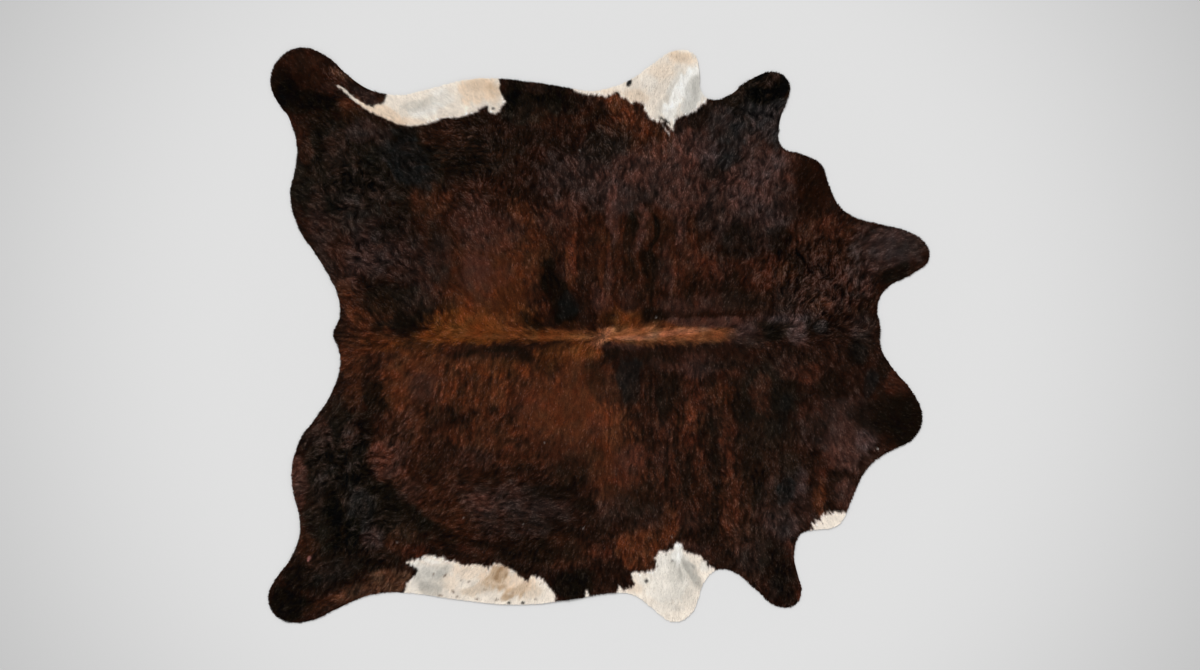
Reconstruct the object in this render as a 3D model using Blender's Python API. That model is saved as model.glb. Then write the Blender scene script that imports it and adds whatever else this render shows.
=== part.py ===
"""Cowhide rug: one tanned cattle hide, trimmed to shape and laid flat with its hair side up.

The spine runs along X with the tail at -X and the neck at +X, so the hind feet are the two
left-hand lobes, the forelegs the two right-hand ones, and a white belly flap stands between
them on each side. The underside is the flat flesh side at Z = 0. The upper side is the height
of the lying coat: thin at the belly and the trimmed rim, deeper along the spine and the neck.
The origin is under the middle of the hide's box.
"""

import math
from collections import namedtuple

import bmesh
import bpy
import numpy as np
from mathutils import Matrix

MM = 0.001

# Driving dimensions, in metres.
HIDE_LENGTH = 2.132          # hind feet to cheek lobes, along the spine
SHEET_HEIGHT = 0.0046        # leather of 2.2 mm under short hair lying flat
RIM_HEIGHT = 0.0032          # where the leather is cut and the hair thins out
RIM_SLOPE = 0.055            # width of the soft fall from the sheet to the rim
RELIEF_CELL = 0.040          # spacing of the points that carry the low relief
RIM_STEPS = 4                # straight steps between two knots of the outline
CUTTER_HEIGHT = 0.060
CUTTER_MARGIN = 0.030        # how far the uncut sheet reaches past the outline

# The outline in millimetres from the middle of the hide, clockwise from the tail. Each stretch
# has knots only where it turns or changes its bend, and a smooth curve runs through them all.
OUTLINE = {
    "tail nub": [(-857, 6)],
    "upper rump": [
        (-840, 40), (-833, 90), (-851, 155), (-907, 250), (-967, 345), (-994, 450),
        (-976, 545), (-973, 615), (-1003, 705),
    ],
    "upper hind foot": [
        (-1046, 768), (-1057, 825), (-1030, 889), (-960, 925), (-878, 899), (-805, 835),
    ],
    "upper flank": [
        (-742, 793), (-650, 772), (-550, 790), (-450, 817), (-350, 826), (-200, 812),
        (-100, 796), (-25, 784), (50, 800),
    ],
    "upper belly flap": [
        (110, 827), (175, 873), (245, 915), (305, 904), (325, 840), (330, 778), (365, 756),
    ],
    "upper foreleg": [
        (410, 768), (475, 817), (548, 848), (596, 834), (615, 795), (597, 738), (578, 660),
        (588, 605),
    ],
    "upper shoulder": [(650, 583), (713, 550), (735, 495), (766, 424), (815, 382)],
    "upper cheek": [
        (900, 358), (1000, 331), (1052, 292), (1061, 245), (1010, 198), (928, 152), (895, 92),
    ],
    "neck": [(905, 22), (903, -30), (940, -98)],
    "lower cheek": [
        (1010, -185), (1039, -272), (1005, -337), (945, -368), (903, -391), (861, -430), (833, -478),
    ],
    "lower shoulder": [(806, -545), (766, -612), (700, -625), (648, -638)],
    "lower foreleg": [
        (628, -700), (639, -765), (651, -830), (627, -869), (572, -872), (500, -814),
        (425, -757), (372, -756),
    ],
    "lower belly flap": [(334, -800), (303, -885), (243, -922), (175, -881), (110, -834)],
    "lower flank": [
        (50, -828), (-100, -851), (-270, -866), (-450, -850), (-620, -828), (-735, -834),
    ],
    "lower hind foot": [
        (-785, -853), (-830, -875), (-970, -925), (-1041, -902), (-1065, -842), (-1042, -783),
        (-992, -716),
    ],
    "lower rump": [
        (-961, -620), (-989, -470), (-970, -350), (-905, -255), (-850, -160), (-832, -85),
        (-842, -32),
    ],
}

# Low relief of the lying coat, a row for each soft swell (rise > 0) or trough (rise < 0).
# Places, lengths and widths are in millimetres, the turn in degrees from the spine's line.
Swell = namedtuple("Swell", "name x y length width turn rise")
RELIEF = [
    Swell("spine ridge", -190, 8, 1180, 80, 0, 1.3),
    Swell("withers", 250, 15, 420, 190, 4, 0.9),
    Swell("tail root", -790, 0, 130, 90, 0, 0.8),
    Swell("upper loin", -380, 190, 520, 240, 12, 0.5),
    Swell("lower loin", -200, -250, 560, 260, -8, 0.5),
    Swell("upper rump", -760, 400, 420, 300, 50, 0.6),
    Swell("lower rump", -780, -470, 430, 280, -55, 0.6),
    Swell("upper neck curls", 720, 190, 260, 250, 15, 1.1),
    Swell("lower neck curls", 700, -230, 300, 260, -15, 0.8),
    Swell("upper shoulder", 480, 520, 360, 210, 60, 0.6),
    Swell("lower shoulder", 500, -560, 360, 210, -65, 0.5),
    Swell("upper foreleg curls", 530, 770, 190, 100, 50, 0.8),
    Swell("lower foreleg", 590, -800, 170, 80, -75, 0.5),
    Swell("upper hind foot", -950, 830, 190, 120, -55, 0.6),
    Swell("lower hind foot", -970, -840, 210, 120, 45, 0.6),
    Swell("fold behind the neck", 420, -98, 230, 38, -5, -0.8),
    Swell("crease over the withers", 330, 92, 180, 45, 3, -0.6),
    Swell("crease of the upper flap", 262, 785, 150, 34, 72, -0.7),
    Swell("crease of the lower flap", 288, -775, 150, 34, -68, -0.7),
    Swell("thin upper flank", -480, 768, 330, 70, 6, -0.8),
    Swell("thin lower flank", -390, -800, 300, 60, 3, -0.7),
]

# Colour of the coat's ground, roughness and metallic value.
COAT_COLOR = (0.028, 0.013, 0.009, 1.0)
COAT_ROUGHNESS = 0.62
COAT_METALLIC = 0.0


def clear_scene():
    """Remove every object that the scene starts with."""
    for obj in list(bpy.data.objects):
        bpy.data.objects.remove(obj, do_unlink=True)


def new_collection(name):
    """Make a collection under the scene's own one."""
    collection = bpy.data.collections.new(name)
    bpy.context.scene.collection.children.link(collection)
    return collection


def coat_material():
    """A dark, dull Principled material for the whole hide."""
    material = bpy.data.materials.new("hide_coat")
    material.use_nodes = True
    shader = material.node_tree.nodes["Principled BSDF"]
    shader.inputs["Base Color"].default_value = COAT_COLOR
    shader.inputs["Roughness"].default_value = COAT_ROUGHNESS
    shader.inputs["Metallic"].default_value = COAT_METALLIC
    return material


def outline_curve(collection):
    """A closed flat curve through the outline's knots, thickened into a prism."""
    knots = [knot for stretch in OUTLINE.values() for knot in stretch]
    curve = bpy.data.curves.new("hide_outline_curve", "CURVE")
    curve.dimensions = "2D"
    curve.fill_mode = "BOTH"
    curve.extrude = CUTTER_HEIGHT / 2
    curve.resolution_u = RIM_STEPS
    spline = curve.splines.new("BEZIER")
    spline.bezier_points.add(len(knots) - 1)
    spline.use_cyclic_u = True
    for point, (x, y) in zip(spline.bezier_points, knots):
        point.co = (x * MM, y * MM, 0)
        point.handle_left_type = "AUTO"
        point.handle_right_type = "AUTO"
    obj = bpy.data.objects.new("hide_outline_curve", curve)
    collection.objects.link(obj)
    return obj


def outline_cutter(collection):
    """The prism as a closed mesh, centred and brought to the hide's real length."""
    source = outline_curve(collection)
    evaluated = source.evaluated_get(bpy.context.evaluated_depsgraph_get())
    mesh = bpy.data.meshes.new_from_object(evaluated)
    bpy.data.objects.remove(source, do_unlink=True)

    work = bmesh.new()
    work.from_mesh(mesh)
    bmesh.ops.remove_doubles(work, verts=work.verts, dist=0.00005)
    bmesh.ops.recalc_face_normals(work, faces=work.faces)
    spans = np.array([vertex.co[:2] for vertex in work.verts])
    low, high = spans.min(axis=0), spans.max(axis=0)
    middle = (low + high) / 2
    scale = HIDE_LENGTH / (high[0] - low[0])
    place = Matrix.Diagonal((scale, scale, 1, 1)) @ Matrix.Translation((-middle[0], -middle[1], 0))
    bmesh.ops.transform(work, matrix=place, verts=work.verts)
    work.to_mesh(mesh)
    work.free()

    cutter = bpy.data.objects.new("hide_outline", mesh)
    cutter.hide_render = True
    cutter.display_type = "WIRE"
    collection.objects.link(cutter)
    return cutter


def rim_loop(cutter):
    """The outline as an array of points, one for each upright edge of the prism."""
    points = np.array([vertex.co for vertex in cutter.data.vertices])
    return points[points[:, 2] > 0][:, :2]


def distance_to_rim(x, y, rim):
    """Distance from each point to the nearest point of the outline."""
    gaps = np.hypot(x[:, None] - rim[None, :, 0], y[:, None] - rim[None, :, 1])
    return gaps.min(axis=1)


def coat_height(x, y, rim):
    """Height of the coat: the sheet, eased down to the rim, plus each swell as a soft bell."""
    rise = np.zeros_like(x)
    for swell in RELIEF:
        turn = math.radians(swell.turn)
        along = (x - swell.x * MM) * math.cos(turn) + (y - swell.y * MM) * math.sin(turn)
        across = (y - swell.y * MM) * math.cos(turn) - (x - swell.x * MM) * math.sin(turn)
        reach = (along / (swell.length * MM / 2)) ** 2 + (across / (swell.width * MM / 2)) ** 2
        rise += swell.rise * MM * np.exp(-reach)
    ease = np.clip(distance_to_rim(x, y, rim) / RIM_SLOPE, 0, 1)
    ease = ease * ease * (3 - 2 * ease)
    return RIM_HEIGHT + ease * (SHEET_HEIGHT - RIM_HEIGHT + rise)


def uncut_sheet(collection, cutter):
    """A flat-bottomed sheet past the outline, whose upper points lie at the coat's height."""
    rim = rim_loop(cutter)
    half = np.abs(rim).max(axis=0) + CUTTER_MARGIN
    cells = [max(1, round(2 * side / RELIEF_CELL)) for side in half]
    work = bmesh.new()
    bmesh.ops.create_grid(work, x_segments=cells[0], y_segments=cells[1], size=1)
    bmesh.ops.transform(work, matrix=Matrix.Diagonal((half[0], half[1], 1, 1)), verts=work.verts)

    upper = list(work.verts)
    flat = np.array([vertex.co[:2] for vertex in upper])
    for vertex, height in zip(upper, coat_height(flat[:, 0], flat[:, 1], rim)):
        vertex.co.z = height

    border = [edge for edge in work.edges if edge.is_boundary]
    walls = bmesh.ops.extrude_edge_only(work, edges=border)["geom"]
    lower = [item for item in walls if isinstance(item, bmesh.types.BMVert)]
    for vertex in lower:
        vertex.co.z = 0
    bmesh.ops.contextual_create(work, geom=[
        edge for edge in work.edges if edge.is_boundary and edge.verts[0].co.z == 0])
    bmesh.ops.recalc_face_normals(work, faces=work.faces)

    mesh = bpy.data.meshes.new("cowhide")
    work.to_mesh(mesh)
    work.free()
    sheet = bpy.data.objects.new("cowhide", mesh)
    collection.objects.link(sheet)
    return sheet


def build_hide(parts, cutters):
    """Cut the sheet to the outline and give it its material."""
    cutter = outline_cutter(cutters)
    hide = uncut_sheet(parts, cutter)
    trim = hide.modifiers.new("trim_to_outline", "BOOLEAN")
    trim.operation = "INTERSECT"
    trim.solver = "EXACT"
    trim.object = cutter
    hide.data.materials.append(coat_material())
    return hide


def main():
    clear_scene()
    parts = new_collection("cowhide_rug")
    cutters = new_collection("cutters")
    build_hide(parts, cutters)


main()
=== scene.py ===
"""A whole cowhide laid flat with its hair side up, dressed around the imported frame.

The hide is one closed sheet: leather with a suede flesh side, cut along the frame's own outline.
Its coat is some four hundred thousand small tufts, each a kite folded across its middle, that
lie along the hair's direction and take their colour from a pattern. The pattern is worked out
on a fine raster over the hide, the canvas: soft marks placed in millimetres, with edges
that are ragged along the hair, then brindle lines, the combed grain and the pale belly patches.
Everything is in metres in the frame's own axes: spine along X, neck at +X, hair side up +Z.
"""

import math
from collections import namedtuple

import bpy
import numpy as np
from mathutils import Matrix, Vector
from mathutils.geometry import delaunay_2d_cdt


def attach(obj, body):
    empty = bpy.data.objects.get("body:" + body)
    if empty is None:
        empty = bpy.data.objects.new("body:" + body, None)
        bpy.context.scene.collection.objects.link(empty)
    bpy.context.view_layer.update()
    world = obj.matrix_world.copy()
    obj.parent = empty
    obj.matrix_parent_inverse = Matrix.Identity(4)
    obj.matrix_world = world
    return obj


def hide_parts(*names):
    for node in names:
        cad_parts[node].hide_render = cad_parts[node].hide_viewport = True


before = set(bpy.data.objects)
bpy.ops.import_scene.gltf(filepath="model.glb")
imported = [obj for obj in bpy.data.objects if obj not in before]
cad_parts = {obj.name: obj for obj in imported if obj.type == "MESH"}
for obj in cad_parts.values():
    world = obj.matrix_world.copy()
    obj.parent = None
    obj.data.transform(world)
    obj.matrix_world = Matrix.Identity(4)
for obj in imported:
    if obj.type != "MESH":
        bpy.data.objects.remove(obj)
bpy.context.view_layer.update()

MM = 0.001
SEED = 4963

CANVAS_CELL = 2.5 * MM           # step of the raster that holds the coat's pattern
CANVAS_MARGIN = 20 * MM          # how far the raster reaches past the hide
LATTICE_SIZE = 256               # corners along and across, after which the values repeat

# Tones of the coat as they read in daylight: red, green and blue from 0 to 255.
TONES = {
    # Dark hair. The smoke grey and the slate grey are painted sheen, the rosy brown is partly
    # the hair's own tone and partly painted sheen, the blush along the spine is a painted
    # highlight, and the fawn is partly one.
    "jet": (7, 7, 3), "black": (15, 12, 8), "pine": (20, 21, 20), "slate_sheen": (33, 33, 32),
    "wine": (28, 16, 10), "umber": (33, 20, 14), "moss": (25, 22, 17), "taupe": (46, 35, 31),
    "smoke_sheen": (66, 53, 51), "rosy_and_sheen": (68, 45, 38), "cocoa": (43, 25, 17), "chestnut": (60, 34, 22),
    "russet": (72, 37, 25), "rust": (88, 47, 27), "honey": (93, 50, 22), "ginger": (118, 70, 40),
    "amber": (168, 112, 72), "blush_highlight": (158, 108, 84), "fawn_and_highlight": (102, 70, 49),
    # Pale hair, and what shows between it. The mist, ash and steel greys are painted shade on
    # the patches' folds, and the white is a painted highlight on them.
    "cream": (229, 218, 204), "milk": (226, 221, 212), "white": (238, 236, 231),
    "mist_shade": (207, 208, 205), "ash_shade": (186, 182, 173), "steel_shade": (132, 129, 122),
    "sand": (221, 197, 171), "tan": (138, 104, 68), "pink": (176, 120, 112),
    # Raw leather.
    "bark": (88, 66, 50), "suede": (219, 199, 175), "camel": (192, 166, 136),
}


def ease(t):
    """The eased step 3t^2 - 2t^3, held at 0 below 0 and at 1 above 1."""
    t = np.clip(t, 0, 1)
    return t * t * (3 - 2 * t)


def tone_of(name):
    """A tone by its name, from 0 to 1."""
    return np.array(TONES[name]) / 255


def as_light(tones):
    """Tones as they read, from 0 to 1, as light: ((c + 0.055) / 1.055) to the power 2.4."""
    return ((np.clip(tones, 0, 1) + 0.055) / 1.055) ** 2.4


def lattice(x, y, cell, seed):
    """Random values from -1 to 1 at the corners of square cells, with eased blends between."""
    draw = np.random.default_rng(seed)
    table = draw.uniform(-1, 1, (LATTICE_SIZE, LATTICE_SIZE)).astype(np.float32)
    u = x / cell
    v = y / cell
    left = np.floor(u).astype(np.int64)
    low = np.floor(v).astype(np.int64)
    across = ease(u - left)
    up = ease(v - low)
    left, right = left % LATTICE_SIZE, (left + 1) % LATTICE_SIZE
    low, high = low % LATTICE_SIZE, (low + 1) % LATTICE_SIZE
    below = table[low, left] * (1 - across) + table[low, right] * across
    above = table[high, left] * (1 - across) + table[high, right] * across
    return below * (1 - up) + above * up


def cloud(x, y, cell, seed, layers=3):
    """Layers of the lattice, each of half the cell and half the height of the one before."""
    return sum(lattice(x, y, cell / 2 ** k, seed + k) / 2 ** k for k in range(layers))


def slope(field, cell):
    """How a field rises along X and along Y, side by side."""
    return np.stack(np.gradient(field, cell)[::-1], axis=-1)


def signed_distance(x, y, border):
    """Distance to a closed border of straight stretches, positive inside it. A point is inside
    where a line from it towards -X crosses the border an odd number of times."""
    nearest = np.full(x.shape, np.inf)
    inside = np.zeros(x.shape, bool)
    for (ax, ay), (bx, by) in zip(border, np.roll(border, -1, axis=0)):
        run_x = bx - ax
        run_y = by - ay
        share = np.clip(((x - ax) * run_x + (y - ay) * run_y) / (run_x ** 2 + run_y ** 2), 0, 1)
        gap = (x - ax - share * run_x) ** 2 + (y - ay - share * run_y) ** 2
        nearest = np.minimum(nearest, gap)
        if run_y:
            crosses = ((ay > y) != (by > y)) & (x > ax + (y - ay) * run_x / run_y)
            inside ^= crosses
    return np.where(inside, 1, -1) * np.sqrt(nearest)


class Raster:
    """A grid of points over the hide and a margin round it."""

    def __init__(self, rim, cell):
        self.cell = cell
        self.low = rim.min(axis=0) - CANVAS_MARGIN
        high = rim.max(axis=0) + CANVAS_MARGIN
        self.x, self.y = np.meshgrid(
            np.arange(self.low[0], high[0], cell), np.arange(self.low[1], high[1], cell))

    def read(self, field, at):
        """A field's values at points, blended between the four points of the grid round each. Past
        the grid it has the values of the grid's border."""
        u = np.clip((at[..., 0] - self.low[0]) / self.cell, 0, self.x.shape[1] - 1.001)
        v = np.clip((at[..., 1] - self.low[1]) / self.cell, 0, self.x.shape[0] - 1.001)
        left = u.astype(np.int64)
        low = v.astype(np.int64)
        across = (u - left).reshape(u.shape + (1,) * (field.ndim - 2))
        up = (v - low).reshape(u.shape + (1,) * (field.ndim - 2))
        below = field[low, left] * (1 - across) + field[low, left + 1] * across
        above = field[low + 1, left] * (1 - across) + field[low + 1, left + 1] * across
        return below * (1 - up) + above * up

    def window(self, x, y, reach):
        """The slices of the grid's rows and columns within this reach of a point."""
        first = np.maximum(np.floor((np.array((y, x)) - reach - self.low[::-1]) / self.cell), 0)
        last = np.ceil((np.array((y, x)) + reach - self.low[::-1]) / self.cell)
        rows, columns = zip(first.astype(int), np.maximum(last, 0).astype(int))
        return slice(*rows), slice(*columns)


# --------------------------------------------------------------------------- the hair's lie

WHORL = (13 * MM, -5 * MM)       # where the hair parts towards the tail and towards the neck
WHORL_NARROW = 0.5               # the whorl's pull across the spine, against that along it
SPINE_REACH = 34 * MM            # half the width of the hair that runs along the spine
SLOW_SWIRL = 0.25                # how far the hair turns in slow swirls, in radians
SLOW_CELL = 75 * MM              # and their size
QUICK_SWIRL = 0.3                # the same of the quick ones, where the coat doesn't curl
QUICK_CELL = 26 * MM

# How much further it turns in curls, by place along the spine in millimetres.
RESTLESS = [(-600, 1.1), (-300, 0.8), (520, 0.8), (640, 0.35)]

# The direction of the hair on the upper half, in degrees from the spine's line, by place along
# the spine in millimetres. The lower half mirrors it.
SIDE_TURN = [
    (-1060, 155), (-800, 135), (-600, 122), (-450, 112), (0, 95), (300, 84), (600, 76), (850, 72),
    (1060, 20),
]

# Where the hair runs out along a lobe: its middle and reach in millimetres, and the direction.
Lobe = namedtuple("Lobe", "x y reach turn")
LOBES = [
    Lobe(-950, 850, 170, 127), Lobe(-960, -860, 170, -125), Lobe(545, 770, 120, 72),
    Lobe(600, -800, 130, -80), Lobe(230, 830, 120, 80), Lobe(210, -820, 120, -95),
    Lobe(970, 270, 120, 12), Lobe(960, -280, 130, -25), Lobe(-450, 760, 110, 130),
    Lobe(-400, -800, 110, -125), Lobe(-830, 0, 80, 180), Lobe(-400, -570, 150, -172),
    Lobe(-190, -590, 130, -178), Lobe(-470, 610, 110, 172), Lobe(-640, -560, 120, -152),
]

# How curly the coat is, by place: its middle, reach and share.
Curl = namedtuple("Curl", "x y reach share")
CURLS = [
    Curl(720, 170, 170, 1.7), Curl(530, 770, 130, 1.6), Curl(-780, 480, 140, 1.5),
    Curl(-720, 270, 150, 1.0), Curl(-820, -400, 140, 1.6), Curl(-760, -620, 130, 0.9),
    Curl(620, -60, 140, 0.3), Curl(480, 480, 190, 0.7), Curl(520, -450, 200, 0.5),
    Curl(-600, 590, 130, 0.35), Curl(-50, 540, 230, 0.6), Curl(-350, 590, 200, 0.7),
    Curl(500, 250, 150, 0.6), Curl(590, -780, 90, 0.5), Curl(40, 630, 120, 0.6),
    Curl(-900, 700, 110, 0.5), Curl(-900, -790, 110, 0.5), Curl(-300, -600, 180, 0.5),
]

# Where it lies sleek.
SLEEK = [
    Curl(-100, -230, 210, 1.0), Curl(-350, 170, 170, 1.0), Curl(60, -420, 130, 0.8),
    Curl(-560, -110, 150, 0.6), Curl(960, 270, 110, 0.8), Curl(980, -240, 130, 0.8),
    Curl(-950, 840, 110, 0.7), Curl(690, 490, 110, 0.8), Curl(90, 320, 160, 0.7),
    Curl(-350, 0, 140, 1.0), Curl(-130, 0, 110, 1.0), Curl(120, 10, 130, 0.9),
    Curl(340, 20, 140, 1.0), Curl(200, 220, 130, 0.5), Curl(760, -280, 170, 0.5),
    Curl(480, -300, 190, 0.35),
]

# Where more of the tufts catch the light.
GLINTS = [
    Curl(30, 640, 110, 0.8), Curl(205, 600, 70, 0.6), Curl(-400, 650, 90, 0.5),
    Curl(700, 150, 130, 0.9), Curl(-420, 470, 120, 0.4), Curl(-100, 560, 120, 0.4),
    Curl(-838, 846, 40, 1.5),
]


def nearness(x, y, spot):
    """A bell: e to the power -(distance / reach)^2 round the spot's middle."""
    return np.exp(-((x - spot.x * MM) ** 2 + (y - spot.y * MM) ** 2) / (spot.reach * MM) ** 2)


def strongest(x, y, spots):
    """The strongest of the spots' bells, each times its share."""
    return np.max([spot.share * nearness(x, y, spot) for spot in spots], axis=0)


def by_place(x, table):
    """A table's second column at places along the spine, straight between its rows."""
    places, values = np.array(table).T
    return np.interp(x / MM, places, values)


def hair_heading(x, y):
    """Unit directions of the hair. On each side it follows the table of turns, along the spine it
    runs away from the whorl, and on a lobe it runs out; the bells blend these. A slow swirl and,
    where the coat is curly, a quick one turn the sum."""
    turn = np.radians(by_place(x, SIDE_TURN))
    head_x = np.cos(turn)
    head_y = np.where(y > 0, 1, -1) * np.sin(turn)
    spine = np.exp(-(y / SPINE_REACH) ** 2)
    away_x = x - WHORL[0]
    away_y = (y - WHORL[1]) * WHORL_NARROW
    away = np.hypot(away_x, away_y) + 1e-6
    head_x += (away_x / away - head_x) * spine
    head_y += (away_y / away - head_y) * spine
    for lobe in LOBES:
        share = nearness(x, y, lobe)
        head_x += (math.cos(math.radians(lobe.turn)) - head_x) * share
        head_y += (math.sin(math.radians(lobe.turn)) - head_y) * share
    swirl = SLOW_SWIRL * cloud(x, y, SLOW_CELL, SEED + 1, 2)
    quick = QUICK_SWIRL + by_place(x, RESTLESS) * strongest(x, y, CURLS)
    swirl += quick * cloud(x, y, QUICK_CELL, SEED + 5, 2)
    heading = np.arctan2(head_y, head_x) + swirl
    return np.stack([np.cos(heading), np.sin(heading)], axis=-1)


def combed(heading, grains, reaches):
    """Each grain averaged along the hair. A walk goes down and up the hair from every point of
    the grid, a cell at a time, by the heading of the nearest point. A grain is summed over the
    steps within its own reach, and then brought to a mean of 0 and a spread of 1."""
    rows, columns = heading.shape[:2]
    sums = [grain.copy() for grain in grains]
    for sign in (1, -1):
        row, column = np.mgrid[0:rows, 0:columns].astype(np.float32)
        near_row, near_column = row.astype(np.int64), column.astype(np.int64)
        for step in range(max(reaches)):
            column += sign * heading[near_row, near_column, 0]
            row += sign * heading[near_row, near_column, 1]
            near_row = np.clip(np.rint(row), 0, rows - 1).astype(np.int64)
            near_column = np.clip(np.rint(column), 0, columns - 1).astype(np.int64)
            for total, grain, reach in zip(sums, grains, reaches):
                if step < reach:
                    total += grain[near_row, near_column]
    return [(total - total.mean()) / total.std() for total in sums]


# ------------------------------------------------------------------------ the coat's marks

# A mark is a soft oval: its middle in millimetres, its length and width, its strength, and the
# turn of its length in degrees, where it has one. They are painted in this order, broad washes
# first. The smoke and slate marks are painted sheen, the rosy ones partly painted sheen, and
# the blush ones and the fawn one on the upper hind foot painted highlights.
Mark = namedtuple("Mark", "x y length width strength turn", defaults=[0])

WASHES = [
    ("cocoa", [
        (-400, 330, 520, 460, .7), (160, 260, 640, 460, .65), (-420, -300, 760, 620, .8),
        (160, -420, 560, 720, .6), (620, 250, 560, 420, .5), (460, -450, 420, 560, .4),
        (-790, 90, 200, 260, .8), (-960, 640, 130, 300, .5), (-955, -500, 110, 360, .8),
    ]),
    ("chestnut", [
        (-350, 150, 460, 420, .75), (-80, -250, 460, 520, .85), (-600, -170, 380, 260, .6),
        (90, 690, 260, 220, .7), (200, 280, 420, 300, .4), (-640, -410, 220, 200, .5),
        (60, -440, 220, 320, .6), (-480, -570, 380, 260, .35), (440, -560, 150, 340, .55),
        (-120, 330, 330, 220, .45), (-560, -60, 620, 130, .5), (740, 300, 260, 180, .4),
    ]),
    ("taupe", [
        (60, 520, 640, 290, .8), (470, 450, 460, 460, .8), (-260, -570, 420, 220, .7),
        (590, -560, 260, 380, .5), (790, -300, 330, 330, .6), (940, 290, 330, 200, .85),
        (-760, 300, 420, 330, .5), (-580, 220, 150, 240, .5), (300, 620, 260, 260, .4),
        (620, 60, 260, 130, .6),
    ]),
    ("moss", [
        (-830, 530, 460, 480, .85), (-620, 540, 330, 360, .7), (-840, -460, 300, 620, .8),
        (-690, -560, 420, 200, .8, -38), (-880, -740, 330, 200, .5), (-640, 90, 300, 200, .7),
        (-230, 750, 300, 170, .8), (500, 720, 330, 280, .7), (-430, 590, 420, 200, .5),
        (490, -260, 360, 420, .4), (560, -210, 220, 330, .5), (560, 20, 180, 90, .7),
    ]),
    ("wine", [(-950, 810, 330, 330, .5), (970, -260, 220, 260, .6), (-980, -820, 200, 260, .4)]),
]

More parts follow.
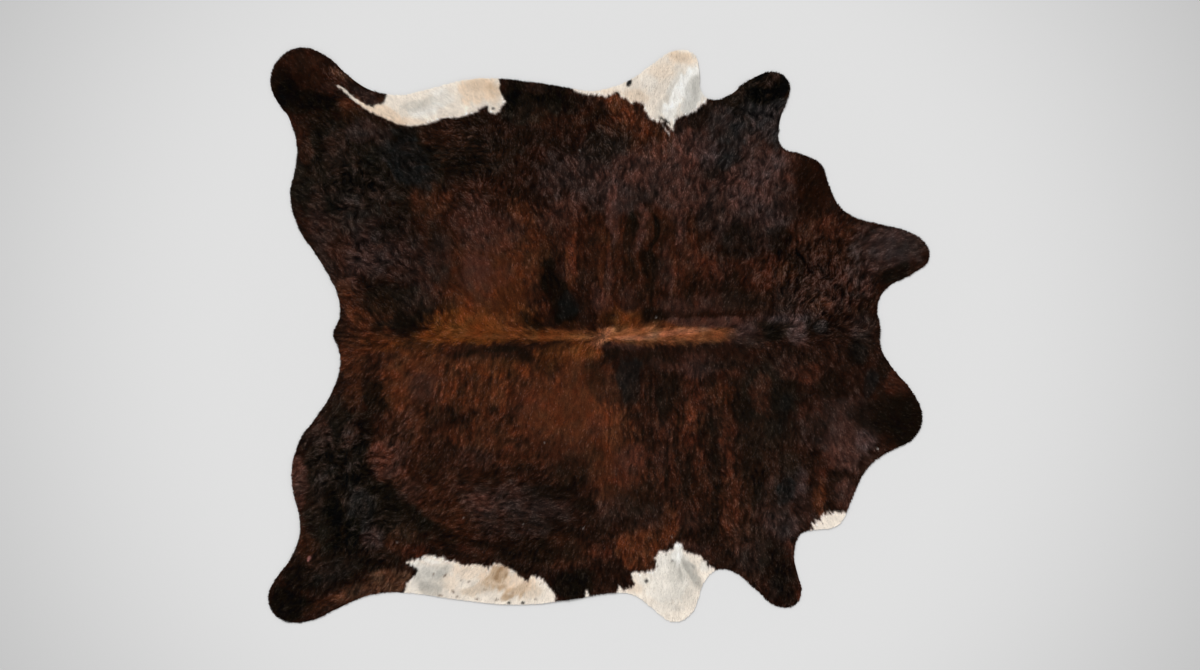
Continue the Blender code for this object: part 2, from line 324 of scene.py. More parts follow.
MARKS = [
    # Along the spine.
    ("honey", [
        (-430, 40, 330, 150, .6), (-420, 50, 240, 170, .5, 10), (-270, 60, 220, 130, .4),
        (-440, 0, 400, 80, .6), (-160, -80, 240, 110, .2), (-330, -110, 260, 80, .35),
        (-40, -50, 130, 110, .5), (-700, -25, 220, 80, .3), (60, 45, 200, 120, .4, -20),
        (-280, 150, 130, 160, .25), (-600, -40, 260, 90, .3),
    ]),
    ("ginger", [
        (-275, 8, 520, 56, .5), (-60, 0, 420, 50, .6), (215, 8, 540, 110, .6, 1),
        (90, 56, 130, 100, .45, -10), (-380, 50, 260, 90, .35, 6), (-60, -70, 160, 130, .25),
        (380, 0, 220, 60, .4),
    ]),
    ("amber", [
        (16, -2, 100, 50, .55, 50), (195, 4, 430, 64, .45, 1), (-130, -6, 300, 16, .4),
        (-360, -4, 200, 20, .3),
    ]),
    # Painted highlights along the spine.
    ("blush_highlight", [
        (130, -8, 200, 18, .5, 2), (270, 12, 260, 30, .45, 6), (15, -2, 70, 24, .3, 50),
        (0, 2, 110, 44, .25, 40),
    ]),
    ("honey", [(-240, 0, 420, 60, .45)]),
    ("rosy_and_sheen", [(350, 44, 320, 50, .8, -4), (60, -36, 200, 30, .4, -4), (500, 0, 150, 90, .55)]),
    # Upper rump and hind foot.
    ("cocoa", [
        (-890, 840, 150, 110, .5, -45), (-960, 605, 60, 150, .7), (-500, 640, 160, 110, .6),
        (-960, 880, 150, 80, .5, 20),
    ]),
    ("chestnut", [
        (-550, 440, 170, 170, .8), (-790, 90, 90, 200, .5, 10), (-850, 300, 110, 260, .3, 30),
    ]),
    # A painted highlight on the strands of the upper hind foot.
    ("fawn_and_highlight", [(-838, 846, 36, 110, .4, 45)]),
    ("rust", [
        (-765, 55, 110, 100, .45), (-815, 165, 60, 110, .3), (-700, 755, 50, 50, .3),
        (-800, 720, 110, 110, .35), (-690, 90, 110, 110, .3), (-800, -190, 90, 110, .3),
        (-700, 0, 130, 70, .4),
    ]),
    ("taupe", [
        (-760, 775, 150, 60, .6, -25), (-770, 655, 150, 90, .7), (-690, 640, 90, 90, .5),
        (-900, 340, 130, 130, .4), (-700, 460, 130, 90, .3), (-820, 450, 160, 60, .25),
    ]),
    ("black", [
        (-800, 700, 110, 60, .4), (-700, 330, 110, 90, .3), (-610, 610, 110, 110, .4),
        (-400, 700, 130, 60, .35), (-500, 110, 90, 60, .4), (-1025, 800, 110, 160, .6),
        (-925, 750, 150, 110, .8, -20), (-905, 625, 60, 110, .6), (-790, 490, 220, 70, .35, -12),
        (-650, 380, 130, 130, .4), (-510, 260, 60, 190, .35), (-700, 500, 200, 110, .3),
        (-690, 320, 110, 110, .25), (-710, 150, 90, 120, .45), (-660, 95, 130, 80, .45, -30),
        (-600, 60, 120, 90, .5), (-720, 30, 60, 60, .4), (-470, 550, 200, 60, .5, 10),
    ]),
    ("jet", [(-900, 742, 130, 70, .5, -15), (-1005, 785, 110, 90, .6), (-615, 600, 140, 180, .4)]),
    ("pine", [
        (-610, 565, 170, 190, .9), (-575, 520, 120, 130, .7), (-670, 590, 110, 90, .5),
        (-620, 655, 110, 60, .5),
    ]),
    # Upper loin and flank.
    ("rust", [
        (-350, 210, 180, 200, .4), (-290, 290, 130, 110, .1), (-240, 220, 100, 170, .35),
        (-250, 390, 110, 110, .5), (-85, 230, 50, 240, .6), (-400, 130, 220, 120, .35),
        (10, 230, 60, 330, .35), (70, 725, 130, 100, .5, -30), (150, 670, 110, 70, .3, -40),
        (200, 600, 110, 130, .3), (30, 760, 110, 50, .35), (-30, 690, 140, 110, .2),
        (150, 610, 160, 110, .4), (-180, 700, 110, 70, .15),
    ]),
    ("rosy_and_sheen", [
        (285, 600, 130, 170, .85), (245, 430, 130, 200, .5), (-380, 190, 130, 220, .4),
        (170, 550, 230, 180, .55), (310, 480, 130, 200, .55), (500, 600, 130, 110, .5),
        (-100, 400, 130, 110, .4), (215, 220, 60, 180, .5), (205, 120, 90, 60, .3),
        (400, 200, 90, 110, .3), (-10, 110, 60, 130, .6), (-330, 330, 200, 160, .35),
        (90, 120, 60, 110, .3), (400, 110, 150, 80, .45), (290, 260, 90, 130, .3),
        (-410, 390, 150, 180, .4), (60, 540, 160, 120, .3), (300, 110, 150, 80, .5),
        (-370, 230, 100, 90, .4), (-540, 140, 90, 110, .25), (-140, 370, 130, 130, .3),
    ]),
    ("black", [
        (-125, 120, 250, 90, .8, 108), (-102, 56, 110, 90, .9, 95), (-185, 255, 60, 130, .55),
        (-160, 190, 70, 130, .75), (-205, 45, 160, 44, .6, -40), (-245, 410, 90, 50, .15),
        (0, 600, 130, 120, .5), (-270, 455, 60, 50, .35), (30, 65, 60, 26, .35),
        (-205, 806, 270, 80, .85, -5), (-240, 770, 220, 100, .4, -6), (175, 650, 40, 110, .4),
        (-210, 640, 200, 70, .35), (-110, 620, 110, 60, .3), (-80, 740, 130, 50, .4),
    ]),
    # Upper shoulder, neck and foreleg.
    ("russet", [
        (-78, 245, 40, 120, .5), (248, 230, 40, 130, .3), (262, 210, 60, 130, .35),
        (355, 225, 90, 130, .45), (500, 195, 120, 160, .35), (625, 535, 90, 110, .35),
        (745, 340, 120, 90, .35), (720, 190, 200, 120, .35), (15, 130, 60, 160, .4),
        (545, 640, 110, 90, .25), (560, 240, 90, 90, .25),
    ]),
    ("rosy_and_sheen", [
        (43, 390, 38, 290, .9), (146, 395, 36, 90, .8), (124, 352, 36, 90, .8),
        (136, 305, 34, 80, .8), (130, 285, 28, 60, .6, -25), (255, 370, 56, 220, .85),
        (22, 200, 32, 170, .55),
    ]),
    ("wine", [(690, 500, 150, 190, .9), (875, 80, 80, 110, .6), (660, 420, 160, 110, .4)]),
    ("rosy_and_sheen", [
        (740, 130, 240, 130, .3), (862, 150, 80, 90, .7), (490, 490, 260, 200, .5, 20),
        (590, 560, 90, 80, .5),
    ]),
    ("smoke_sheen", [
        (480, 450, 200, 150, .3, 30), (540, 540, 160, 90, .4, 30), (360, 620, 120, 110, .3),
        (60, 460, 110, 130, .25), (600, 62, 200, 50, .5), (650, 10, 80, 120, .55),
        (490, 20, 90, 100, .35), (350, 590, 110, 90, .3), (850, 210, 130, 90, .3),
        (955, 285, 210, 120, .45, -15), (560, 370, 110, 110, .3),
    ]),
    ("black", [
        (97, 340, 60, 180, .85), (172, 330, 28, 150, .85), (162, 225, 84, 110, .75),
        (90, 225, 44, 110, .5), (165, 170, 70, 90, .35), (205, 340, 26, 130, .15),
        (175, 75, 130, 70, .6), (300, 140, 44, 190, .35), (430, 155, 80, 150, .35),
        (450, 300, 150, 110, .5), (380, 400, 130, 110, .3), (590, 305, 110, 110, .6),
        (620, 200, 110, 110, .35), (700, 170, 220, 160, .3), (372, 530, 110, 60, .4, 20),
        (320, 705, 120, 80, .5, 20), (410, 715, 110, 90, .4), (650, 235, 90, 90, .4),
        (955, 200, 150, 60, .8, 25), (570, 8, 90, 66, .75), (700, 30, 60, 90, .5),
        (500, 800, 110, 90, .45, 40), (480, 330, 200, 60, .3), (-10, 690, 110, 90, .4),
        (470, 745, 90, 60, .4),
    ]),
    ("slate_sheen", [
        (430, 640, 110, 220, .6), (480, 700, 150, 130, .5), (570, 690, 120, 220, .6),
        (530, 760, 180, 170, .6), (560, 690, 150, 200, .5),
    ]),
    ("smoke_sheen", [
        (550, 680, 130, 150, .3), (480, 640, 110, 110, .2), (-740, 260, 220, 180, .25),
        (-800, 380, 150, 150, .2),
    ]),
    ("jet", [
        (550, 810, 230, 150, .85, 30), (-275, 760, 60, 110, .7), (-150, 765, 200, 50, .5, -5),
    ]),
    ("pine", [(722, 28, 60, 70, .7), (420, 560, 110, 70, .5), (-98, 90, 80, 120, .6)]),
    ("rust", [(-200, 290, 110, 160, .4), (-400, 110, 160, 110, .35), (-190, 190, 60, 90, .3)]),
    ("honey", [
        (-400, 14, 200, 90, .4), (-150, 0, 200, 50, .3), (-115, -60, 220, 110, .35),
        (90, 52, 120, 80, .35),
    ]),
    ("rosy_and_sheen", [
        (400, 400, 120, 120, .35), (100, 500, 130, 90, .25), (250, 100, 160, 90, .3),
        (-900, 400, 90, 180, .3), (-860, 800, 110, 60, .3),
    ]),
    ("smoke_sheen", [
        (460, 0, 130, 90, .3), (850, 20, 130, 130, .35), (-500, 250, 90, 180, .3),
        (600, 120, 110, 110, .2),
    ]),
    ("rosy_and_sheen", [
        (400, 700, 90, 110, .35), (0, 500, 110, 90, .25), (900, 300, 110, 110, .3),
        (-800, 200, 90, 110, .3), (-860, 600, 110, 180, .25), (100, 300, 110, 110, .15),
        (200, 200, 90, 90, .3), (0, 100, 80, 80, .35), (-400, 300, 110, 110, .3),
        (-400, 200, 110, 110, .25), (800, 100, 110, 90, .3), (-100, 210, 90, 90, .25),
        (-300, 190, 90, 90, .3), (-600, 100, 90, 90, .15), (550, 835, 130, 50, .2, 20),
        (-210, 800, 110, 50, .25), (-100, 310, 90, 90, .25),
    ]),
    ("moss", [
        (-500, 200, 90, 90, .35), (-500, 300, 110, 130, .3), (-600, 400, 110, 90, .3),
        (600, 110, 110, 70, .35), (30, 620, 160, 130, .4),
    ]),
    ("black", [
        (-700, 320, 110, 110, .25), (-600, 310, 90, 90, .25), (-900, 700, 90, 90, .3),
        (0, 700, 90, 60, .25), (-400, 700, 90, 60, .2),
    ]),
    # Lower rump and hind foot.
    ("rust", [
        (-880, -868, 190, 60, .3, 22), (-640, -650, 130, 90, .2), (-940, -680, 90, 110, .25),
        (-700, -370, 110, 110, .2),
    ]),
    ("fawn_and_highlight", [(-680, -795, 170, 100, .5, 10), (-790, -832, 150, 60, .3, 12)]),
    ("smoke_sheen", [(-722, -645, 90, 120, .45)]),
    ("rosy_and_sheen", [
        (-970, -470, 70, 300, .6), (-560, -160, 160, 160, .4), (-670, -400, 150, 150, .6),
        (-620, -290, 90, 130, .4), (-900, -320, 90, 130, .35),
    ]),
    ("russet", [
        (-700, -390, 110, 110, .35), (-590, -690, 110, 60, .5), (-400, -690, 150, 50, .35),
    ]),
    ("black", [
        (-810, -690, 130, 80, .6), (-600, -600, 90, 90, .4), (-710, -510, 110, 70, .3, -30),
        (-500, -700, 130, 40, .3), (-800, -790, 110, 60, .3, 20), (-725, -200, 120, 130, .7),
        (-755, -320, 90, 180, .65), (-790, -430, 200, 110, .5, -20), (-700, -490, 170, 70, .6, -38),
        (-610, -570, 200, 70, .65, -45), (-520, -640, 180, 60, .6, -28),
        (-420, -668, 160, 50, .5, -8), (-540, -425, 90, 130, .3), (-1010, -865, 170, 150, .9),
        (-960, -780, 150, 90, .7), (-960, -880, 130, 90, .5), (-720, -735, 200, 70, .65, 12),
        (-870, -790, 220, 90, .3, 20), (-880, -400, 110, 90, .35), (-860, -630, 110, 180, .35),
        (-690, -560, 110, 90, .4),
    ]),
    ("slate_sheen", [
        (-775, -555, 120, 210, .55, 10), (-850, -760, 220, 90, .25, 20), (-890, -480, 80, 120, .2),
    ]),
    ("jet", [(-865, -540, 60, 210, .8, 20), (-800, -630, 120, 130, .85)]),
    # Lower loin and flank.
    ("rust", [
        (-110, -240, 330, 230, .5), (10, -330, 130, 300, .35), (40, -440, 110, 230, .3),
        (-400, -180, 300, 200, .55), (-650, -160, 130, 200, .5), (60, -300, 120, 200, .45),
        (-540, -100, 260, 90, .35), (-380, -310, 330, 130, .35), (-800, -60, 110, 200, .4),
        (130, -690, 200, 160, .6), (230, -620, 90, 160, .5), (-230, -140, 200, 130, .35),
        (-120, -700, 260, 110, .25), (-450, -610, 150, 150, .2), (-60, -130, 200, 130, .4),
    ]),
    ("taupe", [
        (-230, -570, 200, 110, .5), (60, -560, 160, 110, .5), (200, -200, 110, 90, .3),
        (170, -600, 160, 110, .4), (-420, -500, 160, 60, .3),
    ]),
    ("russet", [
        (300, -200, 130, 200, .4), (420, -150, 130, 130, .35), (100, -440, 110, 200, .5),
        (-300, -390, 160, 110, .4), (-250, -210, 200, 110, .4), (290, -320, 110, 110, .35),
        (10, -710, 90, 90, .4), (190, -500, 60, 110, .4),
    ]),
    ("rosy_and_sheen", [(-385, -535, 120, 80, .5)]),
    ("umber", [
        (-300, -400, 260, 110, .5), (-480, -270, 150, 90, .3), (-600, -290, 90, 160, .2),
        (-200, -400, 220, 110, .4), (-260, -700, 300, 90, .6), (-350, -620, 300, 110, .4),
        (-600, -400, 100, 120, .5),
    ]),
    ("black", [
        (-310, -44, 180, 30, .6), (-425, -66, 110, 30, .5, 30), (-466, -80, 100, 30, .5, 48),
        (-488, -130, 90, 26, .4, 80), (-520, -180, 100, 16, .4, 75), (-450, -170, 110, 14, .4, 80),
        (-395, -150, 120, 14, .4, 84), (-350, -190, 130, 14, .3, 86),
        (-560, -250, 120, 16, .35, 80), (-235, -65, 60, 60, .4), (-490, -255, 60, 60, .4),
        (-430, -265, 60, 60, .35), (-345, -255, 60, 50, .35), (-280, -262, 50, 50, .35),
        (-350, -450, 110, 90, .35), (-300, -710, 130, 50, .3), (-190, -700, 150, 90, .5),
        (-100, -700, 90, 60, .3), (-200, -500, 110, 90, .4), (-30, -120, 60, 90, .3),
        (300, -500, 60, 130, .4), (-90, -440, 130, 150, .55), (-130, -505, 170, 60, .5),
        (-40, -545, 110, 60, .5), (140, -530, 160, 130, .35), (-85, -800, 180, 120, .9, 8),
        (-265, -755, 90, 50, .5), (-110, -645, 220, 50, .35), (-180, -610, 170, 60, .35),
        (-240, -430, 130, 50, .3),
    ]),
    # Lower shoulder, neck and foreleg.
    ("russet", [
        (420, -320, 60, 300, .5), (435, -560, 90, 330, .35), (525, -185, 80, 160, .4),
        (690, -240, 90, 130, .3), (330, -240, 160, 110, .35), (650, -115, 160, 90, .35),
        (960, -160, 110, 90, .4, -40), (300, -570, 110, 130, .25), (640, -820, 50, 130, .5),
        (720, -430, 90, 110, .35), (260, -350, 160, 260, .2), (610, -700, 50, 130, .25),
    ]),
    ("rosy_and_sheen", [
        (300, -100, 150, 120, .4), (790, -350, 190, 230, .55), (770, -400, 110, 90, .3),
        (470, -650, 110, 110, .2), (790, -510, 90, 130, .35),
    ]),
    ("smoke_sheen", [
        (640, -475, 70, 130, .45), (862, -345, 80, 110, .5), (600, -620, 160, 110, .3),
        (480, -720, 160, 130, .3), (330, -110, 160, 90, .25),
    ]),
    ("black", [
        (190, -75, 160, 60, .35), (220, -190, 110, 220, .5), (30, -75, 140, 50, .5, 40),
        (-10, -140, 60, 130, .3), (348, -295, 60, 90, .4), (410, -104, 260, 34, .4, -8),
        (455, -215, 110, 190, .55), (590, -200, 110, 220, .45), (372, -480, 50, 330, .5),
        (345, -620, 90, 200, .4), (495, -450, 80, 260, .45), (745, -150, 110, 110, .5),
        (825, -50, 90, 110, .65), (760, -460, 70, 60, .5), (910, -100, 60, 90, .5),
        (500, -500, 90, 130, .4), (600, -450, 110, 160, .4), (710, -300, 90, 110, .3),
        (700, -400, 90, 110, .3), (990, -275, 160, 200, .6), (960, -245, 210, 170, .5, 20),
        (880, -250, 150, 130, .45), (560, -740, 110, 200, .6, -10), (1000, -310, 130, 120, .5),
        (830, -250, 90, 130, .3), (600, -800, 90, 190, .6), (630, -70, 130, 60, .35),
        (700, -200, 110, 110, .3), (550, -520, 90, 90, .3),
    ]),
    ("rust", [
        (-810, 750, 110, 60, .15), (720, 110, 110, 70, .3), (600, 200, 110, 90, .3),
        (-90, 20, 140, 40, .3), (-300, -190, 120, 120, .4), (-400, -92, 200, 60, .4),
        (-600, -90, 130, 110, .35), (-600, -300, 110, 110, .3), (-260, -390, 200, 90, .25),
        (300, -280, 110, 90, .3), (400, -200, 110, 90, .3),
    ]),
    ("rosy_and_sheen", [
        (200, -100, 110, 60, .35), (800, -510, 90, 110, .3), (300, -600, 110, 90, .3),
        (100, -400, 120, 120, .35), (200, -400, 90, 110, .3), (300, -690, 110, 60, .35),
        (-900, -500, 90, 180, .2), (-400, -400, 130, 110, .25), (-600, -500, 110, 90, .3),
        (0, -300, 90, 90, .25), (200, -300, 90, 90, .25), (600, -100, 110, 90, .25),
    ]),
    ("moss", [
        (470, -690, 220, 200, .35), (610, -400, 90, 90, .3), (100, -580, 160, 160, .3),
        (450, 110, 200, 80, .3), (500, -20, 110, 70, .4), (-860, 30, 90, 160, .3),
        (1000, 280, 110, 90, .3), (600, -610, 90, 90, .3), (870, 0, 90, 130, .35),
        (-100, -700, 90, 90, .3),
    ]),
    ("black", [
        (-850, -690, 300, 90, .35), (-700, -200, 90, 90, .2), (-250, -690, 360, 80, .25),
        (0, -600, 110, 90, .25), (-600, -600, 90, 90, .25), (-800, -600, 90, 90, .25),
        (-150, -90, 160, 60, .2), (-300, 600, 110, 90, .25), (200, -600, 90, 90, .2),
    ]),
    ("pine", [
        (92, -140, 110, 180, .7), (600, -500, 90, 130, .7), (870, -150, 60, 110, .6),
        (560, -830, 70, 90, .4), (830, -50, 60, 80, .4), (600, -250, 60, 150, .3),
    ]),
    ("rust", [(710, -530, 60, 130, .5)]),
    ("black", [
        (100, 610, 130, 90, .25), (0, -400, 120, 120, .25), (-750, -705, 200, 60, .25, 10),
        (550, 0, 180, 60, .2), (-140, -100, 150, 60, .2), (-605, 22, 110, 60, .4),
    ]),
    ("smoke_sheen", [(600, -610, 130, 90, .25), (400, 700, 110, 90, .2)]),
    ("slate_sheen", [
        (400, 690, 130, 130, .35), (590, -600, 110, 110, .2), (925, 280, 170, 90, .35, -15),
    ]),
    ("rosy_and_sheen", [(-800, -310, 90, 110, .35)]),
]

# Where the lying hair parts in lines, or its brindle runs in stripes: a soft oval as a mark's,
# with the lines along its turn, so many millimetres wide.
Lines = namedtuple("Lines", "x y length width turn strength spacing")
LINES = [
    Lines(190, 260, 480, 580, 90, 0.35, 15), Lines(190, 250, 500, 580, 90, 0.35, 8),
    Lines(300, -400, 760, 620, 91, 0.30, 19), Lines(240, -330, 620, 520, 88, 0.55, 8),
    Lines(-400, -200, 420, 330, 78, 0.40, 9), Lines(-330, -540, 520, 360, 0, 0.30, 6),
    Lines(-450, 600, 420, 200, 4, 0.60, 7), Lines(440, -520, 420, 300, 92, 0.40, 9),
    Lines(-620, -350, 360, 220, 84, 0.25, 10), Lines(-120, 250, 330, 260, 96, 0.25, 10),
    Lines(-760, -640, 300, 260, 100, 0.20, 14), Lines(830, 130, 200, 220, 84, 0.60, 9),
]

# ------------------------------------------------------------------- the pale belly patches

# Each patch: how ragged its border is, and the border in millimetres. Past the rim it is closed
# by points off the hide.
PATCHES = {
    "upper flank": (0.5, [
        (-850, 806), (-828, 793), (-800, 764), (-770, 741), (-740, 721), (-700, 704), (-650, 680),
        (-600, 673), (-560, 680), (-500, 700), (-450, 703), (-400, 719), (-372, 735), (-358, 740),
        (-358, 726), (-347, 717), (-331, 715), (-318, 723), (-311, 742), (-302, 751), (-310, 768),
        (-322, 790), (-322, 860), (-680, 860), (-684, 780), (-690, 755), (-702, 745), (-725, 738),
        (-750, 741), (-780, 757), (-803, 778), (-828, 801),
    ]),
    "upper flap": (1.0, [
        (-100, 860), (-92, 800), (-80, 789), (-68, 784), (-50, 777), (0, 775), (20, 770), (40, 778),
        (55, 785), (75, 770), (95, 755), (105, 748), (130, 752), (140, 745), (150, 725), (160, 705),
        (172, 694), (195, 692), (212, 684), (226, 674), (238, 663), (246, 694), (262, 706),
        (292, 716), (320, 730), (340, 750), (352, 762), (366, 790), (366, 960), (-100, 960),
    ]),
    "lower flank": (1.1, [
        (-632, -880), (-630, -828), (-625, -800), (-610, -790), (-595, -775), (-588, -755),
        (-600, -745), (-620, -731), (-600, -725), (-575, -722), (-552, -708), (-535, -708),
        (-520, -718), (-475, -727), (-455, -735), (-440, -743), (-385, -738), (-360, -752),
        (-340, -738), (-325, -738), (-295, -745), (-280, -758), (-250, -783), (-228, -795),
        (-222, -780), (-210, -775), (-180, -785), (-155, -815), (-145, -830), (-132, -890),
    ]),
    "lower flap": (1.2, [
        (62, -960), (60, -822), (66, -810), (80, -822), (100, -812), (120, -800), (105, -785),
        (100, -765), (150, -763), (185, -755), (180, -715), (190, -700), (215, -698), (230, -690),
        (250, -670), (262, -675), (275, -695), (300, -702), (330, -718), (346, -733), (344, -741),
        (369, -752), (390, -780), (390, -960),
    ]),
    "lower shoulder": (1.5, [
        (690, -660), (688, -612), (700, -602), (715, -598), (722, -607), (720, -590), (725, -578),
        (745, -575), (765, -572), (770, -564), (785, -570), (800, -577), (810, -600), (790, -660),
    ]),
    "rim tuft": (1.0, [(-46, -870), (-44, -821), (-38, -826), (-30, -842), (-28, -870)]),
}

# Marks within the pale patches. The mist, ash and steel marks are painted shade on their
# folds, and the white ones painted highlights on them.
PALE_MARKS = [
    ("sand", [
        (275, 897, 130, 50, .5), (200, 850, 130, 80, .3, 40), (120, 768, 110, 60, .5, -20),
        (30, 785, 130, 30, .3), (-700, 715, 200, 70, .7, -25), (-610, 692, 150, 40, .4),
        (-390, 790, 130, 110, .7), (-340, 780, 70, 110, .5), (-330, -790, 140, 120, .7),
        (-250, -800, 130, 80, .6, -10), (-420, -762, 110, 60, .4), (-480, -800, 110, 60, .3),
        (110, -800, 110, 50, .4, -30),
    ]),
    ("milk", [
        (-500, 770, 110, 60, .7), (-600, -800, 70, 90, .4), (230, -770, 200, 260, .7),
        (220, -885, 130, 60, .3), (200, -730, 90, 80, .5), (150, 800, 60, 90, .4),
        (310, 735, 110, 40, .5, 25), (225, 730, 60, 110, .5, -10), (340, -735, 60, 60, .8),
    ]),
    ("mist_shade", [
        (290, 785, 100, 200, .7, -15), (240, 800, 110, 60, .4, 60), (-560, 735, 150, 40, .4, 8),
        (-555, -765, 150, 80, .4, -5),
    ]),
    ("ash_shade", [
        (300, 790, 60, 170, .35, -12), (205, 745, 30, 150, .3, -20), (-550, -795, 170, 90, .5, -10),
        (-545, -790, 110, 90, .3), (-520, -755, 110, 60, .35), (-600, 752, 130, 50, .5, 8),
        (-550, 760, 70, 40, .4, 10), (230, 718, 50, 50, .4), (250, -715, 70, 70, .45),
        (255, 852, 50, 40, .3), (262, -888, 60, 40, .3), (275, 738, 60, 60, .3),
        (285, -800, 90, 190, .3, 15), (265, -740, 40, 130, .4, 20), (245, -760, 26, 110, .3, 5),
        (290, -735, 26, 110, .35, 25), (240, -850, 110, 90, .2),
    ]),
    ("steel_shade", [
        (-545, -824, 130, 50, .35, -12), (308, -770, 150, 30, .35, -58),
        (322, -795, 90, 40, .25, -60), (292, -755, 90, 12, .3, -70), (272, -765, 90, 10, .3, -80),
        (310, -750, 70, 10, .35, -50), (303, 800, 30, 110, .2, -10), (-500, -765, 80, 40, .25, 40),
    ]),
    ("tan", [
        (-328, -768, 100, 80, .45, 60), (-335, -812, 110, 60, .2), (-385, -826, 130, 40, .25, -8),
        (-385, 800, 100, 50, .15), (-335, 790, 50, 70, .15), (-260, -818, 90, 40, .3, 30),
        (-215, -835, 80, 40, .2), (275, 905, 80, 40, .15), (-328, -762, 36, 20, .5, 50),
        (-338, -786, 44, 18, .45, 80), (-305, -785, 50, 16, .4, 60), (-345, -745, 30, 14, .4, 20),
        (-300, -752, 36, 14, .35, -30), (-290, -840, 50, 16, .4, 10), (-320, -822, 60, 14, .35, 30),
        (-248, -838, 40, 14, .35, 60), (-366, -792, 40, 14, .3, 70),
    ]),
    # Painted highlights on the folds of the pale hair.
    ("white", [
        (248, 785, 190, 42, .8, 60), (222, 712, 110, 30, .6, 72), (296, 848, 80, 40, .6, 25),
        (240, 690, 50, 24, .6, 80), (-600, -737, 80, 22, .5, 10), (-545, -722, 100, 20, .5, -8),
        (255, -700, 60, 60, .6), (262, -725, 26, 60, .5), (-560, 720, 110, 30, .4, 10),
        (-520, 790, 90, 30, .4, 10), (-330, -742, 50, 24, .4),
    ]),
]

# Small spots, painted last of all.
SPOTS = [
    ("jet", [
        (97, 813, 34, 20, 1, 60), (153, -792, 17, 15, 1), (-341, 731, 14, 12, 1),
        (-290, -862, 16, 12, 1), (-245, -862, 16, 12, 1), (216, -707, 10, 8, .8),
        (237, -728, 9, 7, .7),
    ]),
    ("bark", [
        (-470, -826, 22, 8, .8, -45), (-497, -775, 16, 8, .8, 45), (-534, -771, 14, 7, .5, 50),
        (-512, -838, 26, 7, .6, -10), (-369, -820, 11, 8, .5), (-278, -830, 10, 8, .4, 40),
        (-458, -843, 12, 8, .6), (129, 778, 7, 6, .5), (154, 802, 7, 6, .5), (250, 897, 8, 6, .4),
        (-420, -795, 14, 8, .7, 30), (275, -668, 22, 5, .6, 60), (-395, -850, 16, 8, .7),
        (-330, -852, 14, 8, .6), (-205, -850, 14, 8, .6), (-352, -742, 14, 8, .5, 60),
        (-300, -772, 10, 7, .4), (-445, -790, 7, 6, .6), (-188, -800, 10, 6, .5, 40),
    ]),
    ("black", [
        (206, 697, 24, 8, .9, -50), (197, 700, 18, 7, .7, -50), (217, 692, 24, 8, .9, -60),
        (226, 684, 20, 7, .8, -60),
    ]),
    ("pink", [(-935, -720, 26, 11, .8, 70)]),
    ("milk", [
        (214, 664, 20, 7, .6, -60), (224, 652, 22, 7, .7, -60), (206, 676, 16, 6, .5, -60),
        (898, -366, 8, 6, .9), (-175, -347, 5, 5, .7), (185, 58, 5, 5, .6), (-62, 595, 5, 5, .6),
        (-51, -623, 5, 5, .6), (-245, -610, 5, 5, .5), (-435, -588, 5, 5, .5),
        (235, -650, 5, 5, .5), (-650, -668, 5, 5, .5),
    ]),
]


# --------------------------------------------------------------------- painting the canvas

OVAL_CORE = 0.35                 # a mark is whole up to this share of its half width
OVAL_FALL = 0.85                 # and fades out over this share more
OVAL_REACH = 0.65                # what of the canvas a mark is painted on, as a share of its size
MARK_MARGIN = 45                 # and past that in millimetres, for its bent and ragged border
LINES_MARGIN = 20                # the same for a set of lines
RAGGED = 0.30                    # how ragged the marks' borders are
PALE_RAGGED = 0.5                # and those within the pale patches
ROUGH = 0.6                      # how far one spread of locks or streaks moves a border
SHARPEN = 1.6                    # how much quicker the border of a full mark falls
WARP = 15 * MM                   # how far the marks' borders are bent
WARP_CELL = 90 * MM              # and the size of the bends
WARP_CALM = 90 * MM              # nearer the spine than this they are bent less across it

# The grains that are combed along the hair, by the size of their cells.
FINE_CELL = 4.2 * MM             # single tufts
LOCK_CELL = 6.5 * MM             # locks of a few tufts
STREAK_CELL = 17 * MM            # streaks of locks
RIDGE_CELL = 14 * MM             # the crests of the curls, which carry painted highlights
RIDGE_HALF = 0.3                 # the crests' width, as a share of the lattice's height
COMB_REACHES = [2, 3, 4, 5]      # how many cells each is drawn out to either side

LINE_DRAW = 8                    # how far the lines are drawn out against their spacing
HALF_LINE_DRAW = 5               # and the finer ones between them
HALF_LINE = 0.55                 # their spacing against the lines' own
HALF_HEIGHT = 0.5                # and their height
LINE_EDGE, LINE_FALL = 0.1, 0.8  # where a line begins, and how much further up it is full
LINE_WARP = 0.6                  # how far the lines bend, against the marks' borders
RUST_BETWEEN = 0.35              # how strong the rust between the dark lines is

GRAIN = (0.09, 0.15, 0.07)       # the light of the tufts, the locks and the streaks
CURL_GRAIN = (0.06, 0.08, 0.18)  # and where it curls, of the tufts, the locks and the ridges: painted highlights over painted shade
SLEEK_CALM = 0.65                # how much of the grain goes where the hair lies sleek
CREST_SHARE = 0.25               # how far the crests of the grain turn to smoke grey as a painted sheen, twice in curls
CREST_EDGE, CREST_FALL = 0.15, 0.8       # from this grain on, and fully so much further up
HUE_DRIFT = 0.08                 # how far the hue drifts
HUE_CELL = 26 * MM
HUE_TURN = np.array([0.6, -0.5, -1.0])   # towards warm: red up, green and blue down

PALE_EDGE = 3 * MM               # width of the blend at a patch's border
EDGE_GRAIN = (1.6 * MM, 1.2 * MM, 0.8 * MM)  # how far locks, tufts and streaks move it
EDGE_WAVER = 2.5 * MM            # and how far it wavers besides
EDGE_CELL = 8 * MM
PALE_GRAIN = (0.015, 0.018, 0.014)   # the light of the tufts, the locks and the streaks in it
PATCH_MARGIN = 0.03              # how far past its border a patch is worked out


def weighed(weights, grains):
    """The sum of the grains, each times its weight."""
    return sum(weight * grain for weight, grain in zip(weights, grains))


